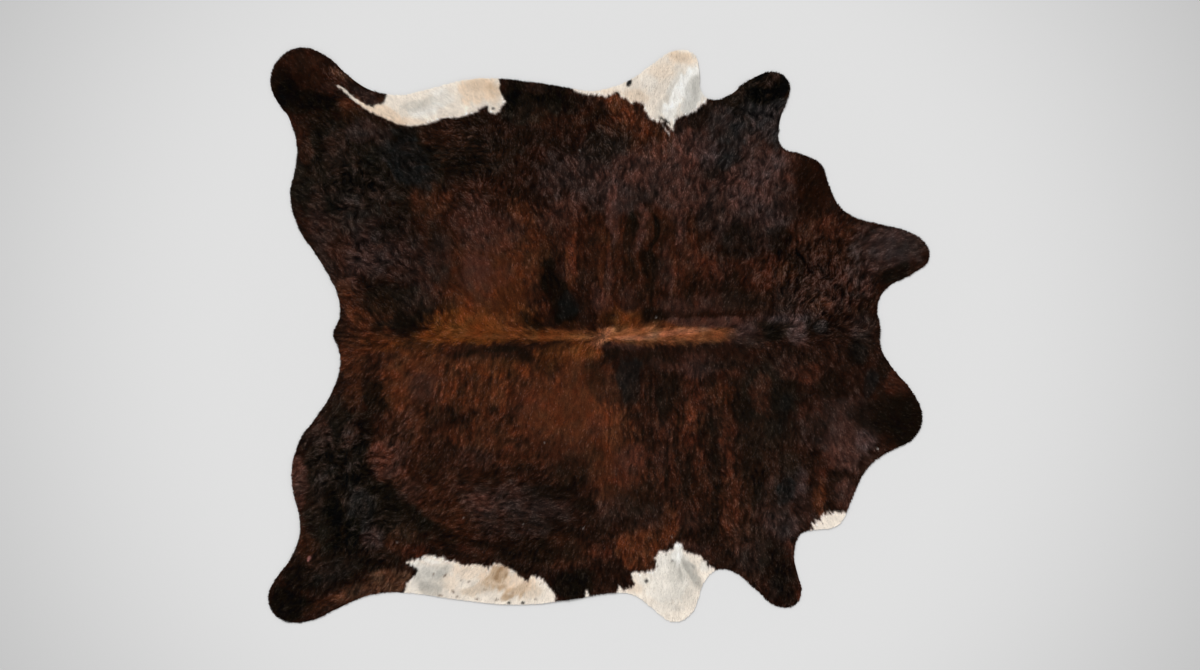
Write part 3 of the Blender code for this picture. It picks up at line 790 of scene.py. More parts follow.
def soft_oval(x, y, mark):
    """1 in the middle of a mark, 0 past its border, with an eased fall between."""
    turn = math.radians(mark.turn)
    along = (x - mark.x * MM) * math.cos(turn) + (y - mark.y * MM) * math.sin(turn)
    across = (y - mark.y * MM) * math.cos(turn) - (x - mark.x * MM) * math.sin(turn)
    reach = np.hypot(along / (mark.length * MM / 2), across / (mark.width * MM / 2))
    return 1 - ease((reach - OVAL_CORE) / OVAL_FALL)


class Coat:
    """The coat's pattern on its canvas: the colour, painted as tones and then turned to light,
    how pale it is, and the hair's grain."""

    def __init__(self, rim):
        self.raster = Raster(rim, CANVAS_CELL)
        x, y = self.raster.x, self.raster.y
        self.heading = hair_heading(x, y)
        self.curls = strongest(x, y, CURLS)
        self.sleek = strongest(x, y, SLEEK)
        grains = [
            cloud(x, y, FINE_CELL, SEED + 9, 1), cloud(x, y, LOCK_CELL, SEED + 11, 1),
            cloud(x, y, STREAK_CELL, SEED + 17, 2),
            np.exp(-(cloud(x, y, RIDGE_CELL, SEED + 19, 2) / RIDGE_HALF) ** 2),
        ]
        self.fine, self.lock, self.streak, self.ridge = combed(
            self.heading, [grain.astype(np.float32) for grain in grains], COMB_REACHES)
        self.lock_slope = slope(self.lock, CANVAS_CELL / MM)
        self.warp_x = WARP * cloud(x, y, WARP_CELL, SEED + 21)
        self.warp_y = WARP * cloud(x, y, WARP_CELL, SEED + 31) * ease(np.abs(y) / WARP_CALM)
        self.colour = self.plain("umber")
        self.lay_marks(WASHES)
        self.lay_marks(MARKS)
        self.lay_lines()
        self.lay_grain()
        self.pale = self.paleness()
        self.lay_patches()
        self.lay_marks(SPOTS, ragged=0)
        self.colour = as_light(self.colour)

    def heading_at(self, at):
        """The hair's unit direction at each point."""
        found = self.raster.read(self.heading, at)
        return found / np.linalg.norm(found, axis=1, keepdims=True)

    def plain(self, tone):
        """The whole canvas in one tone."""
        return np.broadcast_to(tone_of(tone), self.raster.x.shape + (3,)).copy()

    def blend(self, where, tone, share):
        """Move the colour towards a tone by this share."""
        self.colour[where] += (tone_of(tone) - self.colour[where]) * share[..., None]

    def window(self, mark, margin):
        """The part of the canvas that a mark is painted on."""
        reach = (max(mark.length, mark.width) * OVAL_REACH + margin) * MM
        return self.raster.window(mark.x * MM, mark.y * MM, reach)

    def lay_marks(self, groups, ragged=RAGGED):
        """Paint the marks. Where an oval is half there, the locks and streaks make it ragged, and
        the stronger the mark, the quicker its border falls."""
        for tone, rows in groups:
            for mark in (Mark(*row) for row in rows):
                where = self.window(mark, MARK_MARGIN)
                x = self.raster.x[where]
                y = self.raster.y[where]
                if ragged:
                    x = x + self.warp_x[where]
                    y = y + self.warp_y[where]
                body = soft_oval(x, y, mark)
                rough = ragged * (ROUGH * self.lock[where] + ROUGH * self.streak[where])
                body += rough * 2 * body * (1 - body)
                fall = 1 + SHARPEN * mark.strength ** 2
                self.blend(where, tone, mark.strength * ease((body - 0.5) * fall + 0.5))

    def lay_lines(self):
        """Each set of lines: a lattice drawn out along them, with a finer one at half its height,
        both bent a little. Low values turn dark, and high ones a little towards rust."""
        for lines in LINES:
            where = self.window(lines, LINES_MARGIN)
            x = self.raster.x[where] + LINE_WARP * self.warp_x[where]
            y = self.raster.y[where] + LINE_WARP * self.warp_y[where]
            turn = math.radians(lines.turn)
            along = x * math.cos(turn) + y * math.sin(turn)
            across = y * math.cos(turn) - x * math.sin(turn)
            spacing = lines.spacing * MM
            height = lattice(across, along / LINE_DRAW, spacing, SEED + 43 + lines.spacing)
            height += HALF_HEIGHT * lattice(
                across, along / HALF_LINE_DRAW, lines.spacing * HALF_LINE * MM, SEED + 44)
            share = lines.strength * soft_oval(x, y, lines)
            dark = ease((-height - LINE_EDGE) / LINE_FALL)
            rusty = ease((height - LINE_EDGE) / LINE_FALL)
            self.blend(where, "black", share * dark)
            self.blend(where, "rust", RUST_BETWEEN * share * rusty)

    def lay_grain(self):
        """Each hair's own tone, and the painted light and shade of its locks: the combed grains,
        less where it lies sleek. Where it curls, painted highlights on thin ridges stand over
        painted shade in the gaps, and the crests of the grain take a painted sheen of smoke grey.
        The hue drifts a little between warm and cold."""
        level = 1 - SLEEK_CALM * self.sleek
        grain = level * weighed(GRAIN, (self.fine, self.lock, self.streak))
        grain += self.curls * weighed(CURL_GRAIN, (self.fine, self.lock, self.ridge))
        self.colour *= np.exp(grain - 0.5 * grain ** 2)[..., None]
        # Painted sheen: the crests of the grain turn towards smoke grey.
        crests = ease((grain - CREST_EDGE) / CREST_FALL)
        share = CREST_SHARE + CREST_SHARE * np.minimum(self.curls, 1)
        self.blend(np.s_[:, :], "smoke_sheen", share * crests)
        drift = HUE_DRIFT * cloud(self.raster.x, self.raster.y, HUE_CELL, SEED + 51, 2)
        self.colour *= 1 + drift[..., None] * HUE_TURN

    def paleness(self):
        """1 within the pale patches and 0 outside them, by the distance to a patch's border and by
        the grains, which make it ragged along the hair."""
        x, y = self.raster.x, self.raster.y
        pale = np.zeros(x.shape)
        rough = weighed(EDGE_GRAIN, (self.lock, self.fine, self.streak))
        rough += EDGE_WAVER * cloud(x, y, EDGE_CELL, SEED + 25, 2)
        for ragged, border in PATCHES.values():
            border = np.array(border) * MM
            middle = (border.min(axis=0) + border.max(axis=0)) / 2
            reach = np.ptp(border, axis=0).max() / 2 + PATCH_MARGIN
            where = self.raster.window(*middle, reach)
            depth = signed_distance(x[where], y[where], border) + ragged * rough[where]
            pale[where] = np.maximum(pale[where], ease(depth / PALE_EDGE + 0.5))
        return pale

    def lay_patches(self):
        """Fill the patches with cream and its own marks."""
        dark = self.colour
        self.colour = self.plain("cream")
        self.lay_marks(PALE_MARKS, ragged=PALE_RAGGED)
        light = weighed(PALE_GRAIN, (self.fine, self.lock, self.streak))
        self.colour *= 1 + light[..., None]
        self.colour = dark + (self.colour - dark) * self.pale[..., None]


# =================================================================== reading the frame's hide

WELD = 0.01 * MM                 # points of the frame's mesh nearer than this are one point
FLAT = 0.1 * MM                  # below this a point of the frame's mesh is on the underside
UPPER = 1 * MM                   # and above this it is on the upper side
LEATHER = 2.2 * MM               # thickness of the tanned skin
RIM_CELL = 5 * MM                # step of the raster that holds the distance to the rim
RIM_STEP = 6 * MM                # spacing of the points along the rim
RIM_SOFTNESS = 9 * MM            # reach of the bell that smooths the rim
RIM_NEIGHBOURS = 4               # and the points to either side that it takes in
RIM_INSET = 1.6 * MM             # the cut leather stands this far inside the hair's outline
LEAST_GAP = 0.25 * MM            # the flesh side stands at least this far off the floor
RIM_LIFT = 2.4 * MM              # and is lifted so much more here and there at the rim
RIM_LIFT_REACH = 50 * MM         # fading out over this distance from it
RIM_LIFT_CELL = 230 * MM
LIE_RISE = 0.5 * MM              # how far the sheet rises and falls elsewhere
LIE_CELL = 160 * MM
LEAST_PILE = 0.9 * MM            # the coat's depth at the least
HEIGHT_BELL = 22 * MM            # reach of the bell that smooths the frame's height
HEIGHT_STEP = 4                  # and the step of its raster, in steps of the distance's


def welded(node):
    """A node's points, each once, and the three corners of each of its triangles."""
    mesh = node.data
    mesh.calc_loop_triangles()
    places = np.empty(len(mesh.vertices) * 3, np.float32)
    corners = np.empty(len(mesh.loop_triangles) * 3, np.int32)
    mesh.vertices.foreach_get("co", places)
    mesh.loop_triangles.foreach_get("vertices", corners)
    places = places.reshape(-1, 3)
    _, first, merged = np.unique(
        np.rint(places / WELD).astype(np.int64), axis=0, return_index=True, return_inverse=True)
    return places[first].astype(float), merged.ravel()[corners].reshape(-1, 3)


def rim_of(places, triangles):
    """The outline of the flat underside, in order: the edges that only one triangle there uses,
    taken end to end."""
    under = triangles[(places[triangles, 2] < FLAT).all(axis=1)]
    edges = np.concatenate([under[:, [0, 1]], under[:, [1, 2]], under[:, [2, 0]]])
    used = set(map(tuple, edges.tolist()))
    onward = {start: end for start, end in used if (end, start) not in used}
    rim = [min(onward)]
    while len(rim) < len(onward):
        rim.append(onward[rim[-1]])
    return places[rim, :2]


def signed_area(ring):
    """Half the sum of the cross products of neighbours: positive for an anticlockwise ring."""
    following = np.roll(ring, -1, axis=0)
    return (ring[:, 0] * following[:, 1] - ring[:, 1] * following[:, 0]).sum() / 2


def even_rim(rim):
    """The outline at even steps, smoothed along its length by a bell, and anticlockwise."""
    if signed_area(rim) < 0:
        rim = rim[::-1]
    closed = np.vstack([rim, rim[:1]])
    run = np.concatenate([[0], np.cumsum(np.hypot(*np.diff(closed, axis=0).T))])
    count = round(run[-1] / RIM_STEP)
    at = np.arange(count) * run[-1] / count
    even = np.stack([np.interp(at, run, closed[:, k]) for k in (0, 1)], axis=1)
    offsets = np.arange(-RIM_NEIGHBOURS, RIM_NEIGHBOURS + 1)
    weights = np.exp(-(offsets * RIM_STEP / RIM_SOFTNESS) ** 2)
    shifted = [np.roll(even, offset, axis=0) * weight for offset, weight in zip(offsets, weights)]
    return np.sum(shifted, axis=0) / weights.sum()


def rim_normals(rim):
    """Unit directions out of an anticlockwise outline, square to the line between neighbours."""
    along = np.roll(rim, -1, axis=0) - np.roll(rim, 1, axis=0)
    out = np.stack([along[:, 1], -along[:, 0]], axis=1)
    return out / np.linalg.norm(out, axis=1, keepdims=True)


class Lie:
    """How the hide lies: the distance to its rim, the leather's two sides and the coat's depth."""

    def __init__(self, places, rim):
        self.raster = Raster(rim, RIM_CELL)
        x, y = self.raster.x, self.raster.y
        self.depth = signed_distance(x, y, rim)
        self.slope = slope(self.depth, RIM_CELL)
        near_rim = np.exp(-np.clip(self.depth, 0, None) / RIM_LIFT_REACH)
        lifted = ease(cloud(x, y, RIM_LIFT_CELL, SEED + 61, 2) / 0.8)
        self.under = LEAST_GAP + RIM_LIFT * lifted * near_rim
        self.under += LIE_RISE * ease(0.5 + 0.5 * cloud(x, y, LIE_CELL, SEED + 62, 2))
        self.pile = np.clip(self.frame_height(places) - LEATHER, LEAST_PILE, None)

    def frame_height(self, places):
        """The height of the frame's upper side on the raster: from each point of that side, with
        weights that fall off as a bell. It is worked out on every fourth point of the raster along
        and across, and then blended between."""
        top = places[places[:, 2] > UPPER]
        coarse_x = self.raster.x[::HEIGHT_STEP, ::HEIGHT_STEP]
        coarse_y = self.raster.y[::HEIGHT_STEP, ::HEIGHT_STEP]
        total = np.zeros(coarse_x.shape)
        weight = np.full(coarse_x.shape, 1e-9)
        for row in range(len(coarse_x)):
            gap_x = coarse_x[row][:, None] - top[:, 0]
            gap_y = coarse_y[row][:, None] - top[:, 1]
            share = np.exp(-(gap_x ** 2 + gap_y ** 2) / HEIGHT_BELL ** 2) + 1e-12
            total[row] = (share * top[:, 2]).sum(axis=1)
            weight[row] = share.sum(axis=1)
        coarse = total / weight
        rows = np.arange(self.raster.x.shape[0]) / HEIGHT_STEP
        columns = np.arange(self.raster.x.shape[1]) / HEIGHT_STEP
        coarse_rows, coarse_columns = [np.arange(count) for count in coarse.shape]
        across = np.stack([np.interp(columns, coarse_columns, line) for line in coarse])
        return np.stack([np.interp(rows, coarse_rows, line) for line in across.T], axis=1)

    def leather_under(self, at):
        """The height of the flesh side."""
        return self.raster.read(self.under, at)

    def leather_top(self, at):
        """The height of the hair side."""
        return self.leather_under(at) + LEATHER


def honeycomb(low, high, spacing, stir=0, seed=SEED):
    """Points of a honeycomb over a box: rows that stand half a step apart in turn, each point then
    moved at random by up to this share of the spacing."""
    x, y = np.meshgrid(
        np.arange(low[0], high[0], spacing), np.arange(low[1], high[1], spacing * math.sqrt(3) / 2))
    x = x + spacing / 2 * (np.arange(len(x)) % 2)[:, None]
    draw = np.random.default_rng(seed)
    x = x + draw.uniform(-stir, stir, x.shape) * spacing
    y = y + draw.uniform(-stir, stir, y.shape) * spacing
    return np.stack([x.ravel(), y.ravel()], axis=1)


def new_piece(name, points, faces, materials, face_material=None):
    """A mesh object of triangles, smooth shaded, that rides on the frame's one body."""
    mesh = bpy.data.meshes.new(name)
    mesh.vertices.add(len(points))
    mesh.vertices.foreach_set("co", points.astype(np.float32).ravel())
    mesh.loops.add(faces.size)
    mesh.loops.foreach_set("vertex_index", faces.astype(np.int32).ravel())
    mesh.polygons.add(len(faces))
    mesh.polygons.foreach_set("loop_start", np.arange(0, faces.size, 3, dtype=np.int32))
    if face_material is not None:
        mesh.polygons.foreach_set("material_index", face_material.astype(np.int32))
    mesh.update(calc_edges=True)
    mesh.shade_smooth()
    for material in materials:
        mesh.materials.append(material)
    piece = bpy.data.objects.new(name, mesh)
    bpy.context.scene.collection.objects.link(piece)
    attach(piece, "root")
    return piece


def set_colours(mesh, colours):
    """Give the mesh's points their colours, as light, under the name that the materials read."""
    layer = mesh.attributes.new("coat", "FLOAT_COLOR", "POINT")
    rgba = np.concatenate([colours, np.ones((len(colours), 1))], axis=1)
    layer.data.foreach_set("color", rgba.astype(np.float32).ravel())


def set_map(mesh, name, corners):
    """Give each corner of the mesh's faces its place on a map."""
    layer = mesh.uv_layers.new(name=name)
    layer.uv.foreach_set("vector", corners.astype(np.float32).ravel())


# ======================================================================= the leather sheet

SHEET_STEP = 12 * MM             # spacing of the sheet's points under the coat
FLESH_STEP = 20 * MM             # and on the flesh side
EDGE_ROUND = 0.6 * MM            # how far the cut edge is worn round
LOWER_ROUND = 0.7                # the same at its lower side, against the upper
EDGE_HEIGHT = 0.55               # where it stands out furthest, as a share of the thickness
CUT_WAVER = 0.5 * MM             # how far the cut wavers
CUT_CELL = 30 * MM
SHEET_CLEAR = 0.5                # how far its points stay off the edge, against their spacing
FLESH_CLEAR = 0.4                # and on the flesh side
SKIN_SHADE = 0.35                # the skin between the hairs, darker than their own colour as painted shade in the gaps
PALE_SKIN_SHADE = 0.8            # and between pale ones


def filled(ring, inner):
    """Triangles, by the points' places in ring and then inner, that fill the ring."""
    points = [Vector(point) for point in np.concatenate([ring, inner]).tolist()]
    count = len(ring)
    border = [(k, (k + 1) % count) for k in range(count)]
    _, _, faces, sources, _, _ = delaunay_2d_cdt(points, border, [], 1, 1e-7)
    first = np.array([source[0] for source in sources])
    return first[np.array(faces)]


def within_edge(rim, lie, spacing, clear):
    """Points of a honeycomb inside the cut edge, clear of it by this share of their spacing."""
    points = honeycomb(rim.min(axis=0), rim.max(axis=0), spacing)
    return points[lie.raster.read(lie.depth, points) > RIM_INSET + EDGE_ROUND + clear * spacing]


def build_sheet(rim, lie, coat, materials):
    """The leather: an upper and a lower side filled within the rim, joined by a worn edge of
    three rings, so that the whole is closed. The cut wavers a little along the rim."""
    out = rim_normals(rim)
    waver = CUT_WAVER * lattice(rim[:, 0], rim[:, 1], CUT_CELL, SEED + 71)
    edge = rim - out * (RIM_INSET + waver[:, None])
    upper = edge - out * EDGE_ROUND
    lower = edge - out * EDGE_ROUND * LOWER_ROUND
    skin = within_edge(rim, lie, SHEET_STEP, SHEET_CLEAR)
    flesh = within_edge(rim, lie, FLESH_STEP, FLESH_CLEAR)
    flat = np.concatenate([upper, edge, lower, skin, flesh])
    count = len(rim)
    share = np.repeat([1, EDGE_HEIGHT, 0, 1, 0], [count, count, count, len(skin), len(flesh)])
    points = np.column_stack([flat, lie.leather_under(flat) + LEATHER * share])

    above = filled(upper, skin)
    above = np.where(above < count, above, above + 2 * count)
    below = filled(lower, flesh)[:, ::-1]
    below = np.where(below < count, below + 2 * count, below + 2 * count + len(skin))
    here = np.arange(count)
    after = (here + 1) % count
    walls = [
        np.stack([here + top, here + top + count, after + top + count], axis=1)
        for top in (0, count)]
    walls += [
        np.stack([here + top, after + top + count, after + top], axis=1)
        for top in (0, count)]
    walls = np.concatenate(walls)
    faces = np.concatenate([above, walls, below])
    finish = np.repeat([0, 1, 2], [len(above), len(walls), len(below)])
    sheet = new_piece("hide", points, faces, materials, finish)
    # The skin takes the coat's colour, darkened as painted shade between the hairs.
    pale = coat.raster.read(coat.pale, flat)
    shade = SKIN_SHADE + (PALE_SKIN_SHADE - SKIN_SHADE) * pale
    set_colours(sheet.data, coat.raster.read(coat.colour, flat) * shade[:, None])
    return sheet


# ================================================================================ the hair

TUFT_STEP = 2.80 * MM            # spacing of the tufts
TUFT_STIR = 0.45                 # each tuft's random place, as a share of the spacing
TUFT_WIDTH = 2.8 * MM            # of a tuft of some ten hairs, at its widest
TUFT_LENGTH = 9.6 * MM           # of the short summer coat, as far as it shows
LEAST_LENGTH = 4 * MM            # at the rim, where the hair is trimmed
WIDTHS = (0.6, 1.3)              # the tufts' widths and lengths, against these
LENGTHS = (0.7, 1.3)
OVERHANG = 3.6 * MM              # how far the trimmed hair reaches past the hide's outline
OVERHANGS = (0.1, 1)             # and the single tufts' shares of it
LEAST_OUTWARD = 0.04             # a tuft that heads outwards less than this counts as this much
ROOT_SINK = 0.1 * MM             # how far a root stands in the skin
TUCK = 1.1 * MM                  # how far a tuft's tip is drawn to the middle of its lock

SLEEK_SHARE = 0.8                # how calm sleek hair is, against pale hair
CALM = 0.8                       # how much of its height's and light's disorder calm hair lacks
SWING = 0.15                     # how far a tuft turns from the next, in radians
LIT_SWING = 0.25                 # and how much more where it catches the light
CALM_SWING = 0.7                 # how much of this calm hair lacks
LEAN = 0.28                      # how far a tuft tilts to its side, as a slope
CURL_SHORTER = 0.15              # how much shorter a tuft shows in curls
PALE_LONGER = 0.2                # how much longer in the pale patches
LIT_LONGER = 0.2                 # and where it catches the light
PALE_NARROWER = 0.25             # how much narrower a pale tuft is
FULL_SLOPE = 0.3                 # slope of the locks at which a tip is tucked in fully

LOCK_RISE = 0.55 * MM            # how far the combed locks stand up and down
LIT_RISE = 0.5 * MM              # how much higher a tuft stands that catches the light
CURL_RISE = 1.5 * MM             # and the tip of a curl at the most
MIDDLE_RISES = (0.5, 1.15)       # the heights of a tuft's middle and tip, against the coat's depth
TIP_RISES = (0.4, 1.3)
LOWEST_MIDDLE = 0.3 * MM         # and how near the skin they come
LOWEST_TIP = 0.2 * MM

LIT_SHARE = 0.055                # share of the tufts that catch the light, twice that in curls
MORE_GLINTS = 1.5                # how much more often in the glints
CREST_LIMITS = (0.1, 3)          # the least and the most often on the grain's hollows and crests
GLINT_GAIN = 0.7                 # how much more light such a tuft catches in the glints
LIT_GAIN = 0.4                   # how much lighter such a tuft is
LIT_TONE = np.array((0.026, 0.021, 0.020))   # the grey that it gains besides, at the most
LIT_HALF = 0.014                 # and the light of its own colour at which it gains half of that
HAIR_GAIN = np.array((1.09, 1.04, 1.06))     # a tuft's colour against the tone it is to show,
                                             # as the tufts shade each other
BELLY_GAIN = 1.02                # and in the pale patches, which lie smoother
HAIR_GLOSS = 0.0024              # what the gloss of dark hair adds, taken off its own colour
WHOLE_SHARE = 0.25               # how much of its colour a tuft takes from one place
COLOUR_STIR = 0.5 * MM           # how far off the place is that it reads its colour from
LIGHT_STIR = 0.16                # how much lighter or darker one tuft is than the next
ALONG_TUFT = np.array([0.5, 0.95, 0.95, 1.1])   # light at its root, its middle's sides and its tip; the root is partly painted shade
PALE_ALONG = 0.85                # how much of that difference pale hair lacks
DARKEST, LIGHTEST = 0.0004, 0.88         # the limits of a tuft's light
KITE_ACROSS = (0.5, 0.0, 1.0, 0.5)       # a tuft's four points on the strands' map
KITE_ALONG = (0.0, 0.5, 0.5, 1.0)
STRAND_TURNS = 64                # a tuft takes one of so many places on the strands' map
STRAND_SHIFT = 0.37              # and how far along the map these are from each other
MAP_MARGIN = 1 * MM              # the room round a piece on its map for the bake

# The pieces of the coat from the tail to the neck, each up to this place along the spine.
COAT_PIECES = [
    ("hair_rump", -0.62), ("hair_loin", -0.24), ("hair_back", 0.10), ("hair_shoulder", 0.46),
    ("hair_neck", math.inf),
]


class Tufts:
    """Every tuft as four points: its root, the left and right of its middle, and its tip."""

    def __init__(self, rim, lie, coat):
        draw = np.random.default_rng(SEED + 81)
        root = honeycomb(rim.min(axis=0), rim.max(axis=0), TUFT_STEP, TUFT_STIR, SEED + 82)
        depth = lie.raster.read(lie.depth, root)
        root = root[depth > RIM_INSET + EDGE_ROUND]
        depth = depth[depth > RIM_INSET + EDGE_ROUND]
        count = len(root)
        curls = coat.raster.read(coat.curls, root)
        curled = np.minimum(curls, 1)
        pale = coat.raster.read(coat.pale, root)
        sleek = np.minimum(coat.raster.read(coat.sleek, root), 1)
        calm = np.maximum(pale, SLEEK_SHARE * sleek)
        unrest = 1 - CALM * calm

        # Which tufts catch the light: more in curls and glints, and on the crests of the grain.
        crest = coat.raster.read(coat.lock + coat.streak, root)
        glints = strongest(*root.T, GLINTS)
        often = LIT_SHARE * (1 + curls + MORE_GLINTS * glints)
        often *= np.clip(1 + 0.5 * crest, *CREST_LIMITS)
        lit = (draw.random(count) < often * (1 - calm)) * (1 + GLINT_GAIN * glints)

        # The way it lies, and its length, cut short where it would reach too far past the rim.
        swing = draw.normal(0, 1, count) * (1 - CALM_SWING * calm) * (SWING + LIT_SWING * lit)
        heading = coat.heading_at(root)
        heading = np.stack([
            heading[:, 0] * np.cos(swing) - heading[:, 1] * np.sin(swing),
            heading[:, 1] * np.cos(swing) + heading[:, 0] * np.sin(swing)], axis=1)
        length = TUFT_LENGTH * draw.uniform(*LENGTHS, count)
        length *= 1 - CURL_SHORTER * curled + PALE_LONGER * pale + LIT_LONGER * lit
        outward = -(lie.raster.read(lie.slope, root) * heading).sum(axis=1)
        room = depth + OVERHANG * draw.uniform(*OVERHANGS, count)
        room = room / np.maximum(outward, LEAST_OUTWARD)
        length = np.clip(room, LEAST_LENGTH, length)
        middle = root + heading * length[:, None] * 0.5
        tip = middle + coat.heading_at(middle) * length[:, None] * 0.5
        lock_slope = coat.raster.read(coat.lock_slope, tip)
        tip += TUCK * np.clip(lock_slope / FULL_SLOPE, -1, 1)

        # How high its middle and its tip stand over the leather.
        pile = lie.raster.read(lie.pile, root)
        rise = coat.raster.read(coat.lock, middle) + coat.raster.read(coat.streak, middle)
        rise = LOCK_RISE * unrest * rise + LIT_RISE * lit
        middle_z = lie.leather_top(middle) + np.maximum(
            pile * draw.uniform(*MIDDLE_RISES, count) + rise, LOWEST_MIDDLE)
        tip_z = lie.leather_top(tip) + np.maximum(
            pile * draw.uniform(*TIP_RISES, count) + rise
            + CURL_RISE * curls * draw.uniform(0, 1, count), LOWEST_TIP)

        # Its width, across the way it lies and tilted as its lock is.
        left = np.stack([-heading[:, 1], heading[:, 0]], axis=1)
        lean = LOCK_RISE / MM * (lock_slope * left).sum(axis=1)
        lean = (lean + draw.normal(0, LEAN, count)) * unrest
        width = TUFT_WIDTH * draw.uniform(*WIDTHS, count) * (1 - PALE_NARROWER * pale)
        side = np.column_stack([left, lean]) * (width / 2 / np.sqrt(1 + lean ** 2))[:, None]
        root = np.column_stack([root, lie.leather_top(root) - ROOT_SINK])
        middle = np.column_stack([middle, middle_z])
        tip = np.column_stack([tip, tip_z])
        self.points = np.stack([root, middle + side, middle - side, tip], axis=1)
        self.colours = self.colour(coat, draw, pale, unrest, lit)
        self.pale = pale > 0.5
        self.turn = draw.integers(0, STRAND_TURNS, count)

    def colour(self, coat, draw, pale, unrest, lit):
        """The pattern's colour: mostly at each point's own place, and partly at one place for the
        whole tuft. Each tuft is lighter or darker than the next, and deeper at its root, partly as
        the hair's own tone and partly as painted shade from the tufts over it. Those that catch the
        light
        get a painted highlight: they are lighter, and gain a grey that dark hair gains less of."""
        at = self.points[..., :2] + draw.normal(0, COLOUR_STIR, (len(pale), 1, 2))
        own = coat.raster.read(coat.colour, at)
        whole = own[:, 1:].mean(axis=1, keepdims=True)
        gain = HAIR_GAIN + (BELLY_GAIN - HAIR_GAIN) * pale[:, None]
        base = (own * (1 - WHOLE_SHARE) + whole * WHOLE_SHARE) * gain[:, None] - HAIR_GLOSS
        light = whole.mean(axis=2, keepdims=True)
        base += (LIT_GAIN * base + LIT_TONE * light / (light + LIT_HALF)) * lit[:, None, None]
        stir = np.exp(draw.normal(0, LIGHT_STIR, len(pale)) * unrest)
        along = ALONG_TUFT ** (1 - PALE_ALONG * pale[:, None])
        return np.clip(base * stir[:, None, None] * along[..., None], DARKEST, LIGHTEST)

    def piece(self, name, chosen, material):
        """One mesh of the chosen tufts. Each is two triangles that meet across its middle."""
        points = self.points[chosen].reshape(-1, 3)
        start = np.arange(0, len(points), 4)[:, None, None]
        faces = (start + np.array([[0, 2, 1], [2, 3, 1]])).reshape(-1, 3)
        piece = new_piece(name, points, faces, [material])
        set_colours(piece.data, self.colours[chosen].reshape(-1, 3))
        low = points.min(axis=0)[:2] - MAP_MARGIN
        high = points.max(axis=0)[:2] + MAP_MARGIN
        plan = (points[:, :2] - low) / (high - low)
        turn = np.repeat(self.turn[chosen], 4)
        across = np.tile(KITE_ACROSS, len(start)) + turn
        along = np.tile(KITE_ALONG, len(start)) + turn * STRAND_SHIFT
        set_map(piece.data, "OFBake", plan[faces.ravel()])
        set_map(piece.data, "strands", np.stack([across, along], axis=1)[faces.ravel()])
        return piece


def build_hair(rim, lie, coat, dark_material, pale_material):
    """The dark coat in pieces from the tail to the neck, and the pale hair of the belly."""
    tufts = Tufts(rim, lie, coat)
    along = tufts.points[:, 0, 0]
    pieces = [tufts.piece("hair_belly", tufts.pale, pale_material)]
    start = -math.inf
    for name, end in COAT_PIECES:
        chosen = ~tufts.pale & (along >= start) & (along < end)
        pieces.append(tufts.piece(name, chosen, dark_material))
        start = end
    return pieces


# =========================================================================== the finishes

# What sets one hair's finish off from another's: its gloss, how far its strands lighten and
# darken it, and how rough the lightest and the darkest strand are.
Finish = namedtuple("Finish", "specular contrast smooth rough")
DARK_HAIR = Finish(0.02, 0.30, 0.45, 0.65)
BELLY_HAIR = Finish(0.25, 0.06, 0.45, 0.65)
SKIN = Finish(0.1, 0.35, 0.7, 0.9)

STRANDS = (7.0, 1.1, 1.0)        # hairs across a tuft, and changes along it
STUBBLE = (90.0, 400.0, 200.0)   # the same of the hair roots on the skin, for each metre
LEATHER_SPECULAR = 0.2
BLOTCHES = 7.0                   # of raw leather, for each metre
NAP = 420.0                      # grains of its nap, for each metre
NAP_ROUGHNESS = (0.98, 0.80)     # of its hollows and its tips
NOISE_SPAN = (0.3, 0.7)          # the span that holds most of a noise's values
BLOTCH_SPAN = (0.35, 0.65)       # the span in which one blotch turns into the next
BUMP_STRENGTH = 0.35
BUMP_DEPTH = 0.4 * MM


def new_group(name, inputs, outputs):
    """A shader node group with named sockets: its tree, and its input and output nodes. An input
    is a name, a kind and a value."""
    tree = bpy.data.node_groups.new(name, "ShaderNodeTree")
    for socket, kind, value in inputs:
        made = tree.interface.new_socket(socket, in_out="INPUT", socket_type="NodeSocket" + kind)
        if value is not None:
            made.default_value = value
    for socket, kind in outputs:
        tree.interface.new_socket(socket, in_out="OUTPUT", socket_type="NodeSocket" + kind)
    return tree, tree.nodes.new("NodeGroupInput"), tree.nodes.new("NodeGroupOutput")


def feed(tree, socket, value):
    """Link a node's output to a socket, or set the socket to a number or a vector."""
    if isinstance(value, bpy.types.NodeSocket):
        tree.links.new(value, socket)
    else:
        socket.default_value = value


def math_node(tree, operation, first, second):
    """A Math node. Its operands are sockets or numbers, and its result comes back."""
    node = tree.nodes.new("ShaderNodeMath")
    node.operation = operation
    feed(tree, node.inputs[0], first)
    feed(tree, node.inputs[1], second)
    return node.outputs[0]


def spread(tree, value, low, high, to_low, to_high):
    """A Map Range node that takes low to high onto to_low to to_high, held at the ends."""
    node = tree.nodes.new("ShaderNodeMapRange")
    for socket, item in zip(node.inputs, (value, low, high, to_low, to_high)):
        feed(tree, socket, item)
    return node.outputs[0]


def lit_by(tree, colour, noise, contrast):
    """A colour made darker or lighter, by up to the contrast, as a noise falls or rises."""
    light = math_node(tree, "ADD", 1.0, contrast)
    dark = math_node(tree, "SUBTRACT", 1.0, contrast)
    node = tree.nodes.new("ShaderNodeVectorMath")
    node.operation = "SCALE"
    feed(tree, node.inputs[0], colour)
    feed(tree, node.inputs["Scale"], spread(tree, noise, *NOISE_SPAN, dark, light))
    return node.outputs[0]


def noise_node(tree, place, scale, detail, roughness):
    """A Noise Texture's value at a place."""
    node = tree.nodes.new("ShaderNodeTexNoise")
    node.inputs["Scale"].default_value = scale
    node.inputs["Detail"].default_value = detail
    node.inputs["Roughness"].default_value = roughness
    tree.links.new(place, node.inputs["Vector"])
    return node.outputs["Fac"]


